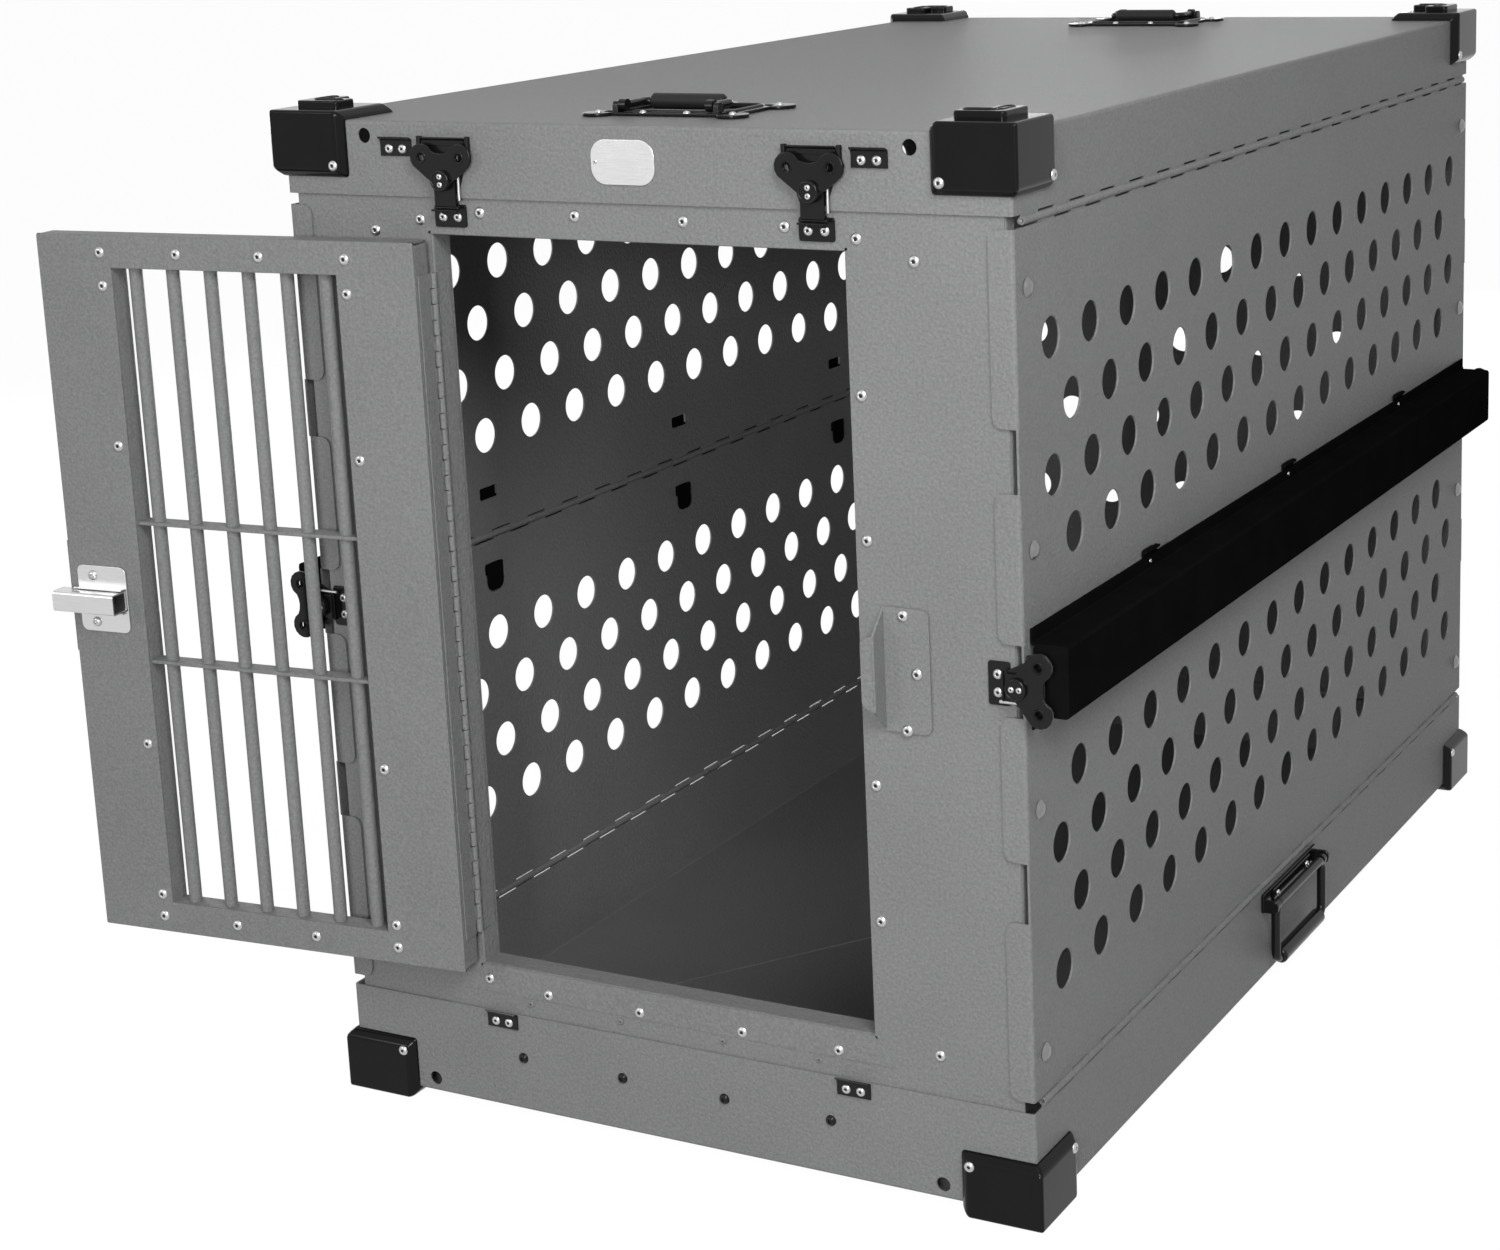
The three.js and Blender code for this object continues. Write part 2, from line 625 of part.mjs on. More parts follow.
const stemX = doorX[1] - 22; // the bolt stem's outer side
const stemSlot = (y, grown) => block(
  [stemX - STEM - BOLT_TRAVEL - GAP, stemX + GAP], y, grow([latchAt - 4, latchAt + 4], grown));

function doorFrame() {
  const inner = [doorY[0] + DOOR_SHEET, doorY[1] - DOOR_SHEET - SEAT];
  const shell = cut(
    block(doorX, [doorY[0], inner[1]], doorZ),
    block(grow(doorX, -DOOR_SHEET), [inner[0], inner[1] + 1], grow(doorZ, -DOOR_SHEET)));
  const ring = block(
    grow(windowX, DOOR_SHEET), [doorY[0], inner[1]], grow(windowZ, DOOR_SHEET));
  return cut(
    join(shell, ring), block(windowX, grow(doorY, 5), windowZ), stemSlot(grow(doorY, 1), GAP));
}

function doorLiner() {
  const y = [doorY[1] - DOOR_SHEET, doorY[1]];
  return cut(
    block(doorX, y, doorZ), block(windowX, grow(y, 5), windowZ), stemSlot(grow(y, 1), GAP));
}

function doorGrille() {
  const middleX = (windowX[0] + windowX[1]) / 2;
  const middleY = (doorY[0] + doorY[1]) / 2;
  const strips = [-1, 1].map((side) => block(
    grow(windowX, -SEAT), [middleY - STRIP_D / 2, middleY + STRIP_D / 2],
    [side * STRIP_OFFSET - STRIP_T / 2, side * STRIP_OFFSET + STRIP_T / 2]));
  const bars = [];
  for (let i = 0; i < BAR_COUNT; i += 1) {
    const x = middleX + (i - (BAR_COUNT - 1) / 2) * BAR_PITCH;
    bars.push(rod('z', BAR_R, windowZ[0] + SEAT, windowZ[1] - SEAT, [x, middleY]));
  }
  return join(strips, bars);
}

function doorLeaf() {
  const half = DOOR_HINGE_L / 2;
  const x = [0.6, 0.6 + LEAF_T];
  const parts = [block(x, [doorY[0] + 0.2, doorY[0] + LEAF_D], [-half, half])];
  const step = DOOR_HINGE_L / KNUCKLES;
  for (let i = 1; i < KNUCKLES; i += 2) {
    const from = -half + i * step + GAP / 2;
    const to = from + step - GAP;
    parts.push(rod('z', BARREL_R, from, to, [0, 0]), block(x, [0, doorY[0] + 1], [from, to]));
  }
  return cut(join(parts), rod('z', BORE_R, -half - 1, half + 1, [0, 0]));
}

show('door_frame', doorFrame(), finish.coat, doorGroup);
show('door_liner', doorLiner(), finish.coat, doorGroup);
show('door_grille', doorGrille(), finish.coat, doorGroup);
show('door_hinge_leaf', doorLeaf(), finish.coat, doorGroup);
show(
  'door_hinge_pin', rod('z', PIN_R, -DOOR_HINGE_L / 2, DOOR_HINGE_L / 2, [0, 0]),
  finish.steel, doorGroup);

// ---- door latch ----
const plateY = doorY[1] + SEAT;
const boltY = [plateY + PLATE_T + SEAT, plateY + PLATE_T + SEAT + BOLT];
const boltX = [doorX[1] + BOLT_THROW - BOLT_L, doorX[1] + BOLT_THROW];
const boltZ = [latchAt - BOLT / 2, latchAt + BOLT / 2];
const pullY = [doorY[0] - SEAT - BRACKET_T, doorY[0] - SEAT];
const bracketZ = [latchAt - BRACKET_H / 2, latchAt + BRACKET_H / 2];
const pullX = [doorX[1] + DOOR_STOP - BRACKET_W, doorX[1] + DOOR_STOP];

function latchPlate() {
  const x = [doorX[1] - PLATE_INSET - PLATE_W, doorX[1] - PLATE_INSET];
  const flat = block(
    x, [plateY, plateY + PLATE_T], [latchAt - PLATE_H / 2, latchAt + PLATE_H / 2]);
  const guides = [boltZ[1] + GAP, boltZ[0] - GAP - PLATE_T].map((z) => block(
    [x[0] + 3, x[1]], [plateY, plateY + PLATE_T + 7], [z, z + PLATE_T]));
  return cut(join(flat, guides), stemSlot([plateY - 1, plateY + PLATE_T + 0.1], GAP));
}

function latchBolt() {
  const tube = cut(
    block(boltX, boltY, boltZ),
    block([boltX[0] - 1, boltX[1] - SHEET], grow(boltY, -BOLT_WALL), grow(boltZ, -BOLT_WALL)));
  const thumb = [pullY[0] - 13, pullY[0] - 0.7];
  const stem = block([stemX - STEM, stemX], [thumb[1] - 1, boltY[0] + 0.5], [latchAt - 4, latchAt + 4]);
  const pad = block([stemX - STEM - 2, stemX + 2], thumb, [latchAt - 10, latchAt + 10]);
  return join(tube, stem, pad);
}

// The bent bracket: a flat plate, a flange that stands up from one edge, and its lip.
function bentBracket(x, face, flangeAt, lipTo, z) {
  const rise = face - BRACKET_T - BRACKET_RISE;
  return join(
    block(x, [face - BRACKET_T, face], z),
    block([flangeAt, flangeAt + BRACKET_T], [rise, face], z),
    block(lipTo, [rise, rise + BRACKET_T], z));
}

const doorPull = cut(
  bentBracket(pullX, pullY[1], pullX[0], [pullX[0], pullX[0] + BRACKET_LIP], bracketZ),
  stemSlot(grow(pullY, 1), GAP));
show('door_latch_plate', latchPlate(), finish.steel, doorGroup);
show('door_bolt', latchBolt(), finish.steel, doorGroup);
show('door_pull', doorPull, finish.coat, doorGroup);

const strikeZ = [LATCH_Z - BRACKET_H / 2, LATCH_Z + BRACKET_H / 2];
show(
  'strike_guard',
  bentBracket(
    [STRIKE_X, STRIKE_X + BRACKET_W - 6], -WALL_FACE - SEAT, STRIKE_X,
    [STRIKE_X - BRACKET_LIP, STRIKE_X + BRACKET_T], strikeZ),
  finish.coat);

// ---- corner guards ----
// Each wraps one corner of a tray: two side faces and a plate over the top or underneath.
// Modelled at the corner's own origin: x and y run in along the tray's edges, z away
// from the tray's flat face.
function cornerGuard(stacking) {
  const c = GUARD_CHAMFER;
  const wide = GUARD_W - GUARD_T;
  const square = [
    [-GUARD_T + c, -GUARD_T], [wide, -GUARD_T], [wide, wide], [-GUARD_T, wide],
    [-GUARD_T, -GUARD_T + c],
  ];
  const parts = [
    plate(square, GUARD_T - GUARD_H, GUARD_T - 0.01),
    plate(square, SEAT, GUARD_T),
  ];
  if (stacking) {
    const tab = [GUARD_T - 0.5, GUARD_T + STACK_TAB_H];
    const arm = [GUARD_T, GUARD_T + STACK_TAB];
    const broad = [GUARD_T, GUARD_T + STACK_TAB_W];
    parts.push(block(arm, broad, tab), block(broad, arm, tab));
  }
  const past = [-SEAT, GUARD_W]; // clears the whole guard
  const hollow = block(past, past, [-GUARD_W, SEAT]);
  return cut(join(parts), hollow);
}

for (const [level, z, up] of [['base', 0, -1], ['lid', BODY_H, 1]]) {
  for (const [end, out] of [['front', -1], ['rear', 1]]) {
    for (const [side, sign] of [['left', -1], ['right', 1]]) {
      // turn so that z points away from the tray and x, y run in along its edges
      const turned = -sign * -out * up > 0;
      const u = turned ? [-sign, 0, 0] : [0, -out, 0];
      const place = frame([sign * HALF_W, out * HALF_L, z], u, [0, 0, up]);
      show(
        `${level}_guard_${end}_${side}`, cornerGuard(up > 0), finish.black, placed(place));
    }
  }
}

// ---- lid handles: x along the grip, y towards the grip, z up from the lid ----
// The bail lies flat over its plate and lifts about the ears' stubs.
function lidHandlePlate() {
  const [long, deep, thick] = HANDLE_PLATE;
  const c = 10;
  const [a, b] = [long / 2, deep / 2];
  const outline = [
    [-a, -b + c], [-a + c, -b], [a - c, -b], [a, -b + c], [a, b - c], [a - c, b], [-a + c, b],
    [-a, b - c],
  ];
  const parts = [plate(outline, SEAT, thick)];
  for (const side of [-1, 1]) {
    const inner = side * (GRIP_L / 2 + GAP);
    const ear = [inner, inner + side * EAR_T].sort((p, q) => p - q);
    const stub = [inner + side, inner - side * (2 * ARM_R - 0.6)].sort((p, q) => p - q);
    parts.push(block(ear, [-LID_ARM - HUB_R, -LID_ARM + HUB_R], [thick - 1, thick + 2 * HUB_R]));
    parts.push(rod('x', STUB_R, stub[0], stub[1], [-LID_ARM, thick + GAP + HUB_R]));
  }
  return join(parts);
}

// A bail about its own pivot: arms along y to the grip, stub bores at the pivot. A closed
// one has a bar along the pivot as well, between its two hubs.
function bail(length, arm, gripRadius, gripLength, closed) {
  const parts = [
    rod('x', gripRadius, -gripLength / 2, gripLength / 2, [arm, 0], 8),
    rod('x', ARM_R, -length / 2, length / 2, [arm, 0]),
  ];
  if (closed) parts.push(rod('x', ARM_R, -length / 2, length / 2, [0, 0]));
  const bores = [];
  for (const side of [-1, 1]) {
    const x = [side * (length / 2), side * (length / 2 - 2 * ARM_R)].sort((p, q) => p - q);
    const middle = (x[0] + x[1]) / 2;
    parts.push(rod('y', ARM_R, 0, arm, [middle, 0]));
    parts.push(rod('x', HUB_R, x[0], x[1], [0, 0]));
    bores.push(rod('x', STUB_BORE_R, x[0] - GAP, x[1] + GAP, [0, 0]));
  }
  return cut(join(parts), join(bores));
}

for (const [end, out] of [['front', -1], ['rear', 1]]) {
  const place = frame([0, out * LID_HANDLE_Y, BODY_H], [-out, 0, 0], [0, 0, 1]);
  const group = placed(place);
  show(`lid_handle_plate_${end}`, lidHandlePlate(), finish.black, group);
  const swing = new THREE.Group();
  swing.position.set(0, -LID_ARM, HANDLE_PLATE[2] + GAP + HUB_R);
  group.add(swing);
  show(
    `lid_handle_bail_${end}`,
    bail(GRIP_L, LID_ARM, GRIP_R - 1.5, GRIP_L - 4 * ARM_R - 2, false), finish.grip, swing);
}

// ---- base handles: hang from a bracket at mid length, x along the grip, z outward ----
function sideHandleBracket() {
  const long = SIDE_GRIP_L + 2 * (GAP + EAR_T);
  const parts = [block([-long / 2, long / 2], [-7, SIDE_PLATE_H - 11], [SEAT, SHEET + 1])];
  for (const side of [-1, 1]) {
    const inner = side * (SIDE_GRIP_L / 2 + GAP);
    const ear = [inner, inner + side * EAR_T].sort((p, q) => p - q);
    const stub = [inner + side, inner - side * (2 * ARM_R - 0.6)].sort((p, q) => p - q);
    parts.push(block(ear, [-6, 6], [SHEET, SHEET + 1 + 2 * SIDE_GRIP_R]));
    parts.push(rod('x', STUB_R, stub[0], stub[1], [0, SHEET + 1 + GAP + SIDE_GRIP_R]));
  }
  return join(parts);
}

for (const [side, sign] of [['left', -1], ['right', 1]]) {
  const place = frame([sign * HALF_W, 0, SIDE_PIVOT_Z], [0, sign, 0], [sign, 0, 0]);
  const group = placed(place);
  show(`base_handle_bracket_${side}`, sideHandleBracket(), finish.black, group);
  const swing = new THREE.Group();
  swing.position.set(0, 0, SHEET + 1 + GAP + SIDE_GRIP_R);
  swing.rotation.x = Math.PI;
  group.add(swing);
  show(
    `base_handle_bail_${side}`,
    bail(SIDE_GRIP_L, SIDE_ARM, SIDE_GRIP_R, SIDE_GRIP_L - 4 * ARM_R - 2, true),
    finish.grip, swing);
}

// ---- name plate, left bare ----
const tagPlace = frame([0, -HALF_L - SEAT, BODY_H - 28], [1, 0, 0], [0, -1, 0]);
const [tagL, tagH, tagT] = TAG;
const tagOutline = [];
for (const side of [1, -1]) {
  for (let i = 0; i <= 4; i += 1) {
    const a = THREE.MathUtils.degToRad(-50 + 25 * i);
    tagOutline.push([
      side * (tagL / 2 - tagH / 2 + (tagH / 2) * Math.cos(a)),
      side * (tagH / 2) * Math.sin(a) * 1.3,
    ]);
  }
}
show('name_plate', plate(tagOutline, 0, tagT, tagPlace), finish.steel);

export default crate;
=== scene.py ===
# %% [markdown]
# # A folding dog crate of sheet aluminium
# The crate is two shallow pans, a base and a lid, joined by walls that fold between them:
# four perforated side halves on piano hinges, a front wall with a barred door, and a back
# wall. Corner guards, rails, latches and handles are added in black. The solid model gives
# the sizes and the moving bodies. This script dresses each body in finer pieces.

# %% Load the frame
import json
import math
from itertools import product

import bmesh
import bpy
from mathutils import Matrix, Vector


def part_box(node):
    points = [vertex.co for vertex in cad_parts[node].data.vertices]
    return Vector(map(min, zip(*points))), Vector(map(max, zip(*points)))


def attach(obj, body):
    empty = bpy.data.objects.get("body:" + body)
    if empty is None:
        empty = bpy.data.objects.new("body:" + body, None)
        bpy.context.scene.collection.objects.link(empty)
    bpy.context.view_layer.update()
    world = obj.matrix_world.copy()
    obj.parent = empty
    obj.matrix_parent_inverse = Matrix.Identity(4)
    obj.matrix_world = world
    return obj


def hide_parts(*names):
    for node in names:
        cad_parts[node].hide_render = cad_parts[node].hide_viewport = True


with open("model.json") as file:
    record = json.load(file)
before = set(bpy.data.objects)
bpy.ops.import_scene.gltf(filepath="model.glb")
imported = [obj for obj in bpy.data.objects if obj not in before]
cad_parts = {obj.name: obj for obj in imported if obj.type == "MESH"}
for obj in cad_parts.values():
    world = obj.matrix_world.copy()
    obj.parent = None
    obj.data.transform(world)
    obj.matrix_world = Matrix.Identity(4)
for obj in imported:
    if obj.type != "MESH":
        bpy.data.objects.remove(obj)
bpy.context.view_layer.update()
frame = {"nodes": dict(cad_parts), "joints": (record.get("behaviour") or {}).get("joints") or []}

# %% [markdown]
# ## Sizes
# The pieces are drawn in millimetres, with heights from the underside of the base pan,
# because that is how sheet metal is dimensioned. The main sizes are read from the solid
# model, so the two can't drift apart. Only a finished piece is turned into metres.

# %% Read the main sizes
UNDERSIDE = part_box("base_tray")[0].z
TO_METRES = Matrix.Translation((0, 0, UNDERSIDE)) @ Matrix.Scale(0.001, 4)
TO_MM = TO_METRES.inverted()


def box_mm(node):
    """The lowest and highest corners of a solid, in millimetres."""
    low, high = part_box(node)
    return TO_MM @ low, TO_MM @ high


def middle_mm(node):
    low, high = box_mm(node)
    return (low + high) / 2


def joint_mm(name):
    """Where a joint's axis passes, in millimetres."""
    joint = next(j for j in frame["joints"] if j["name"] == name)
    return TO_MM @ Vector(joint["pos_m"])


def grow(span, by):
    return (span[0] - by, span[1] + by)


def about(middle, half):
    return (middle - half, middle + half)


SHEET = 2.0
KNUCKLE_ROOM = 4.7
BARREL_R = 3.2
HALF_W = middle_mm("right_hinge_pin_middle").x + SHEET / 2
HALF_L = box_mm("right_wall_upper_half")[1].y
LID_TOP = box_mm("lid_tray")[1].z
LOW_PIN, MID_PIN, TOP_PIN = [
    middle_mm(f"right_hinge_pin_{place}").z for place in ("bottom", "middle", "top")]
BASE_RIM = LOW_PIN - KNUCKLE_ROOM
LID_RIM = TOP_PIN + KNUCKLE_ROOM
WALL_HALF = box_mm("front_wall")[1].x
WALL_TOP = box_mm("front_wall")[1].z
WALL_FACE = HALF_L - SHEET - 0.5
END_PIN = joint_mm("back_wall_fold")
DOORWAY_X, DOORWAY_Z = about(0, 186.0), (LOW_PIN + 36.4, WALL_TOP - 41)
ENDS = (("front", -1), ("rear", 1))
SIDES = (("left", -1), ("right", 1))
print(f"body {2 * HALF_W:.0f} x {2 * HALF_L:.0f} x {LID_TOP:.0f} mm")

# %% [markdown]
# ## Sockets that do arithmetic
# A finish is mostly small sums on textures. This class wraps one output of a node, and
# each operator on it adds the node for that sum. Graph.node makes every other node: its
# settings are made before its inputs are fed, because some change which sockets it has.

# %% Socket and Graph


class Socket:
    def __init__(self, graph, output):
        self.graph, self.output = graph, output

    def sum(self, operation, first, second):
        return self.graph.node(
            "ShaderNodeMath", {"operation": operation}, Value=first, Value_001=second)

    def __add__(self, other):
        return self.sum("ADD", self, other)

    def __sub__(self, other):
        return self.sum("SUBTRACT", self, other)

    def __mul__(self, other):
        return self.sum("MULTIPLY", self, other)

    def __radd__(self, other):
        return self.sum("ADD", other, self)

    def __rmul__(self, other):
        return self.sum("MULTIPLY", other, self)


def pick(sockets, key):
    """A socket by its place, its identifier or its name; _ may stand for a space."""
    if isinstance(key, int):
        return sockets[key]
    named = [s for s in sockets if s.identifier == key] or [
        s for s in sockets if s.name == key.replace("_", " ") and s.enabled]
    return named[0]


class Graph:
    """A node tree; a kind without Node in its name is one of the tree's own family."""

    def __init__(self, tree):
        self.tree = tree
        self.family = "GeometryNode" if tree.type == "GEOMETRY" else "ShaderNode"

    def node(self, kind, settings=None, output=0, **inputs):
        made = self.tree.nodes.new(kind if "Node" in kind else self.family + kind)
        for name, value in (settings or {}).items():
            if name == "stops":
                self.set_stops(made.color_ramp, value)
            else:
                setattr(made, name, value)
        self.feed(made, **inputs)
        return Socket(self, pick(made.outputs, output)) if len(made.outputs) else made

    def feed(self, node, **inputs):
        """Sets or links a node's inputs; a list links each of its items."""
        for key, value in inputs.items():
            socket = pick(node.inputs, key)
            for item in value if isinstance(value, list) else [value]:
                if isinstance(item, Socket):
                    self.tree.links.new(item.output, socket)
                else:
                    socket.default_value = item

    def set_stops(self, ramp, stops):
        while len(ramp.elements) > 1:
            ramp.elements.remove(ramp.elements[-1])
        ramp.elements[0].position = stops[0][0]
        for place, _ in stops[1:]:
            ramp.elements.new(place)
        for element, (_, grey) in zip(ramp.elements, stops):
            element.color = (grey, grey, grey, 1)


print("socket maths ready")

# %% [markdown]
# ## Powder coat
# The sheets are powder coated in mid grey. Powder flows together into an orange peel of
# low dimples a few millimetres across, with a finer grain on it, so the surface is never
# a mirror and never quite flat. Two noises make the bump. A slow third one and a speckle
# vary the tone. Everything reads Object coordinates, in metres, so one finish fits every
# sheet at the same scale.

# %% Shader helpers


def new_finish(name):
    """A material with its graph, its shader and the piece's own coordinates."""
    material = bpy.data.materials.new(name)
    material.use_nodes = True
    graph = Graph(material.node_tree)
    shader = next(n for n in material.node_tree.nodes if n.type == "BSDF_PRINCIPLED")
    place = graph.node("TexCoord", output="Object")
    return material, graph, shader, place


def noise(graph, place, per_metre, detail=2.0, roughness=0.5, stretch=(1, 1, 1)):
    """A noise between 0 and 1; stretch squeezes it along an axis, as brushing does."""
    where = graph.node("Mapping", Vector=place, Scale=stretch)
    return graph.node(
        "TexNoise", Vector=where, Scale=per_metre, Detail=detail, Roughness=roughness)


def blend(graph, factor, low, high):
    """A colour between two, by factor."""
    return graph.node(
        "Mix", {"data_type": "RGBA"}, "Result_Color", Factor_Float=factor,
        A_Color=(*low, 1), B_Color=(*high, 1))


def bump(graph, height, depth):
    """A bump whose full height is depth metres."""
    return graph.node("Bump", Height=height, Distance=depth, Strength=1.0)


def ramp(graph, value, stops):
    return graph.node("ValToRGB", {"stops": stops}, Fac=value)


# %% Powder coat
COAT_GREY = (0.199, 0.201, 0.203)
DARK_SHARE, LIGHT_SHARE = 0.8, 1.18
COAT_ROUGHNESS, PEEL_DEPTH = 0.42, 0.001
coat, graph, shader, place = new_finish("grey powder coat")
dimples = noise(graph, place, 330, 1.5)
grain = noise(graph, place, 2400)
clouds = noise(graph, place, 9, 3.0)
speckle = ramp(graph, noise(graph, place, 430), [(0.34, 0.0), (0.66, 1.0)])
shades = [tuple(c * share for c in COAT_GREY) for share in (DARK_SHARE, LIGHT_SHARE)]
graph.feed(
    shader,
    Base_Color=blend(graph, 0.45 * clouds + 0.55 * speckle, *shades),
    Roughness=COAT_ROUGHNESS - 0.06 + 0.12 * (0.5 * clouds + 0.5 * dimples),
    Specular_IOR_Level=0.1,
    Normal=bump(graph, 0.7 * dimples + 0.3 * grain, PEEL_DEPTH))
print("finish:", coat.name)

# %% [markdown]
# ## The black and the bare finishes
# The guards are moulded nylon with a high gloss. The latches are steel with a thinner
# black coat, and the rails' coat is satin. The grips are matte rubber. Rivets are bare
# aluminium, slightly dulled; the hole where the mandrel snapped off holds a near black
# core, which is painted shade. The door's corner slits get the same painted shade.
# The bolt and its plate are brushed stainless steel: fine scratches that run one way.

# %% Black finishes


def black_finish(name, tone, rough, peel, per_metre, gloss):
    """tone is its grey, peel its ripples' depth in metres, gloss its mirror level."""
    material, graph, shader, place = new_finish(name)
    ripple = noise(graph, place, per_metre)
    wipe = noise(graph, place, 30, 3.0)
    low, high = tone * 0.7, tone * 1.3
    graph.feed(
        shader,
        Base_Color=blend(graph, wipe, (low, low, low * 1.04), (high, high, high * 1.04)),
        Roughness=rough - 0.05 + 0.1 * wipe,
        Specular_IOR_Level=gloss,
        Normal=bump(graph, ripple, peel))
    return material


guard_black = black_finish("glossy guard nylon", 0.005, 0.14, 0.00001, 160, 0.12)
rail_black = black_finish("satin black rail coat", 0.006, 0.36, 0.00003, 900, 0.0)
steel_black = black_finish("black latch steel", 0.006, 0.2, 0.00001, 500, 0.2)
grip_black = black_finish("matte rubber grip", 0.009, 0.55, 0.00004, 1300, 0.25)
# near black, standing in for the shade inside rivet holes and the door's corner slits: painted
# shade
painted_hole_shade = black_finish("rivet mandrel hole", 0.02, 0.6, 0.00001, 900, 0.2)
print("black finishes ready")

# %% Bare metals


def bare_metal(name, tone, rough, stretch=(1, 1, 1), scratch=0.000004):
    """stretch runs the scratches: a small number along the way of brushing."""
    material, graph, shader, place = new_finish(name)
    lines = noise(graph, place, 1800, 3.0, 0.6, stretch)
    smear = noise(graph, place, 60)
    low, high = tone * 0.86, min(tone * 1.1, 1.0)
    graph.feed(
        shader,
        Base_Color=blend(graph, lines, (low, low, low), (high, high, high * 1.01)),
        Metallic=1.0,
        Roughness=rough - 0.08 + 0.16 * (0.6 * lines + 0.4 * smear),
        Normal=bump(graph, lines, scratch))
    return material


rivet_metal = bare_metal("rivet aluminium", 0.48, 0.32)
stud_metal = bare_metal("stud steel", 0.24, 0.3)
pin_steel = bare_metal("hinge pin steel", 0.5, 0.32, (1, 0.1, 1))
brushed = bare_metal("brushed stainless steel", 0.62, 0.3, (0.03, 0.03, 1), 0.000008)
plate_metal = bare_metal("stainless plate", 0.7, 0.26, (0.04, 1, 1), 0.000005)
print("bare metals ready")

# %% [markdown]
# ## Shapes in sheet metal
# Almost everything on the crate starts as flat sheet that is cut, then bent. So the
# helpers are a plate with an outline and holes, and a strip whose section is a bent line
# with round corners. Each outer edge is eased, because a coated edge is never sharp and
# its small radius is what catches the light. A turned shape and a swept bar do the rest.

# %% Outlines


def rounded(points, radius, steps=4, closed=True):
    """The outline with its corners turned into arcs; radius is one number or a list."""
    made = []
    for i, point in enumerate(points):
        r = radius[i] if isinstance(radius, (list, tuple)) else radius
        if r <= 0 or (not closed and i in (0, len(points) - 1)):
            made.append(tuple(point))
            continue
        here = Vector(point)
        back = (Vector(points[i - 1]) - here).normalized()
        on = (Vector(points[(i + 1) % len(points)]) - here).normalized()
        half = back.angle(on) / 2
        centre = here + (back + on).normalized() * (r / math.sin(half))
        start = here + back * (r / math.tan(half)) - centre
        end = here + on * (r / math.tan(half)) - centre
        from_angle = math.atan2(start.y, start.x)
        turn = math.atan2(end.y, end.x) - from_angle
        turn = (turn + math.pi) % (2 * math.pi) - math.pi
        for k in range(steps + 1):
            a = from_angle + turn * k / steps
            made.append((centre.x + r * math.cos(a), centre.y + r * math.sin(a)))
    return made


def rectangle(x, y, radius=0.0, steps=4):
    corners = [(x[0], y[0]), (x[1], y[0]), (x[1], y[1]), (x[0], y[1])]
    return rounded(corners, radius, steps)


def ring(centre, radius, steps=24):
    return [(centre[0] + radius * math.cos(2 * math.pi * k / steps),
             centre[1] + radius * math.sin(2 * math.pi * k / steps)) for k in range(steps)]


def bent_section(path, thick, radius, steps=4):
    """The closed section of a sheet bent along path, with its thickness to the left."""
    line = [Vector(p) for p in rounded(path, radius, steps, closed=False)]
    ways = [(b - a).normalized() for a, b in zip(line, line[1:])]
    inner = []
    for i, point in enumerate(line):
        one, two = ways[max(i - 1, 0)], ways[min(i, len(ways) - 1)]
        left, right = Vector((-one.y, one.x)), Vector((-two.y, two.x))
        inner.append(point + (left + right) * (thick / (1 + left.dot(right))))
    return [tuple(p) for p in line + inner[::-1]]


# %% Solid shapes


def taken(bm, place=None):
    """Turns a bmesh into a mesh with its faces outward, moved to place."""
    bmesh.ops.recalc_face_normals(bm, faces=bm.faces)
    mesh = bpy.data.meshes.new("shape")
    bm.to_mesh(mesh)
    bm.free()
    if place is not None:
        mesh.transform(place)
    return mesh


def ease(bm, width, segments=2, angle=30):
    """Rounds each edge where two faces meet more steeply than angle."""
    steep = math.radians(angle)
    edges = [e for e in bm.edges if len(e.link_faces) == 2 and e.calc_face_angle(0) > steep]
    bmesh.ops.bevel(
        bm, geom=edges, offset=width, offset_type="OFFSET", segments=segments, profile=0.5,
        affect="EDGES", clamp_overlap=False, loop_slide=False)


def plate(loops, low, high, place=None, edge=0.0, segments=2):
    """A flat plate: its outline, then the outlines of its holes, from low to high."""
    bm = bmesh.new()
    if len(loops) == 1:
        faces = [bm.faces.new([bm.verts.new((x, y, low)) for x, y in loops[0]])]
    else:
        edges = []
        for loop in loops:
            verts = [bm.verts.new((x, y, low)) for x, y in loop]
            edges += [bm.edges.new((verts[i - 1], verts[i])) for i in range(len(verts))]
        filled = bmesh.ops.triangle_fill(bm, use_beauty=True, edges=edges)
        faces = [f for f in filled["geom"] if isinstance(f, bmesh.types.BMFace)]
    grown_up = bmesh.ops.extrude_face_region(bm, geom=faces, use_keep_orig=True)
    tops = [v for v in grown_up["geom"] if isinstance(v, bmesh.types.BMVert)]
    bmesh.ops.translate(bm, verts=tops, vec=(0, 0, high - low))
    bmesh.ops.recalc_face_normals(bm, faces=bm.faces)
    if edge:
        ease(bm, edge, segments)
    return taken(bm, place)


def bent(path, low, high, thick, radius, place=None, edge=0.0):
    """A bent strip: its path in x and y, running from low to high along z."""
    return plate([bent_section(path, thick, radius)], low, high, place, edge)


def block(x, y, z, place=None, edge=0.4):
    return plate([rectangle(x, y)], *z, place, edge)


def turned(profile, steps=24, place=None):
    """A turned shape about z, through these (radius, height) pairs."""
    bm = bmesh.new()
    rings = []
    for radius, z in profile:
        points = ring((0, 0), radius, steps) if radius > 1e-6 else [(0, 0)]
        rings.append([bm.verts.new((x, y, z)) for x, y in points])
    for low, high in zip(rings, rings[1:]):
        for k in range(steps):
            n = k + 1
            corners = list(dict.fromkeys([
                low[k % len(low)], low[n % len(low)], high[n % len(high)],
                high[k % len(high)]]))
            if len(corners) > 2:
                bm.faces.new(corners)
    bmesh.ops.remove_doubles(bm, verts=bm.verts, dist=1e-4)
    return taken(bm, place)


def cylinder(radius, low, high, steps=20, place=None):
    return turned([(0, low), (radius, low), (radius, high), (0, high)], steps, place)


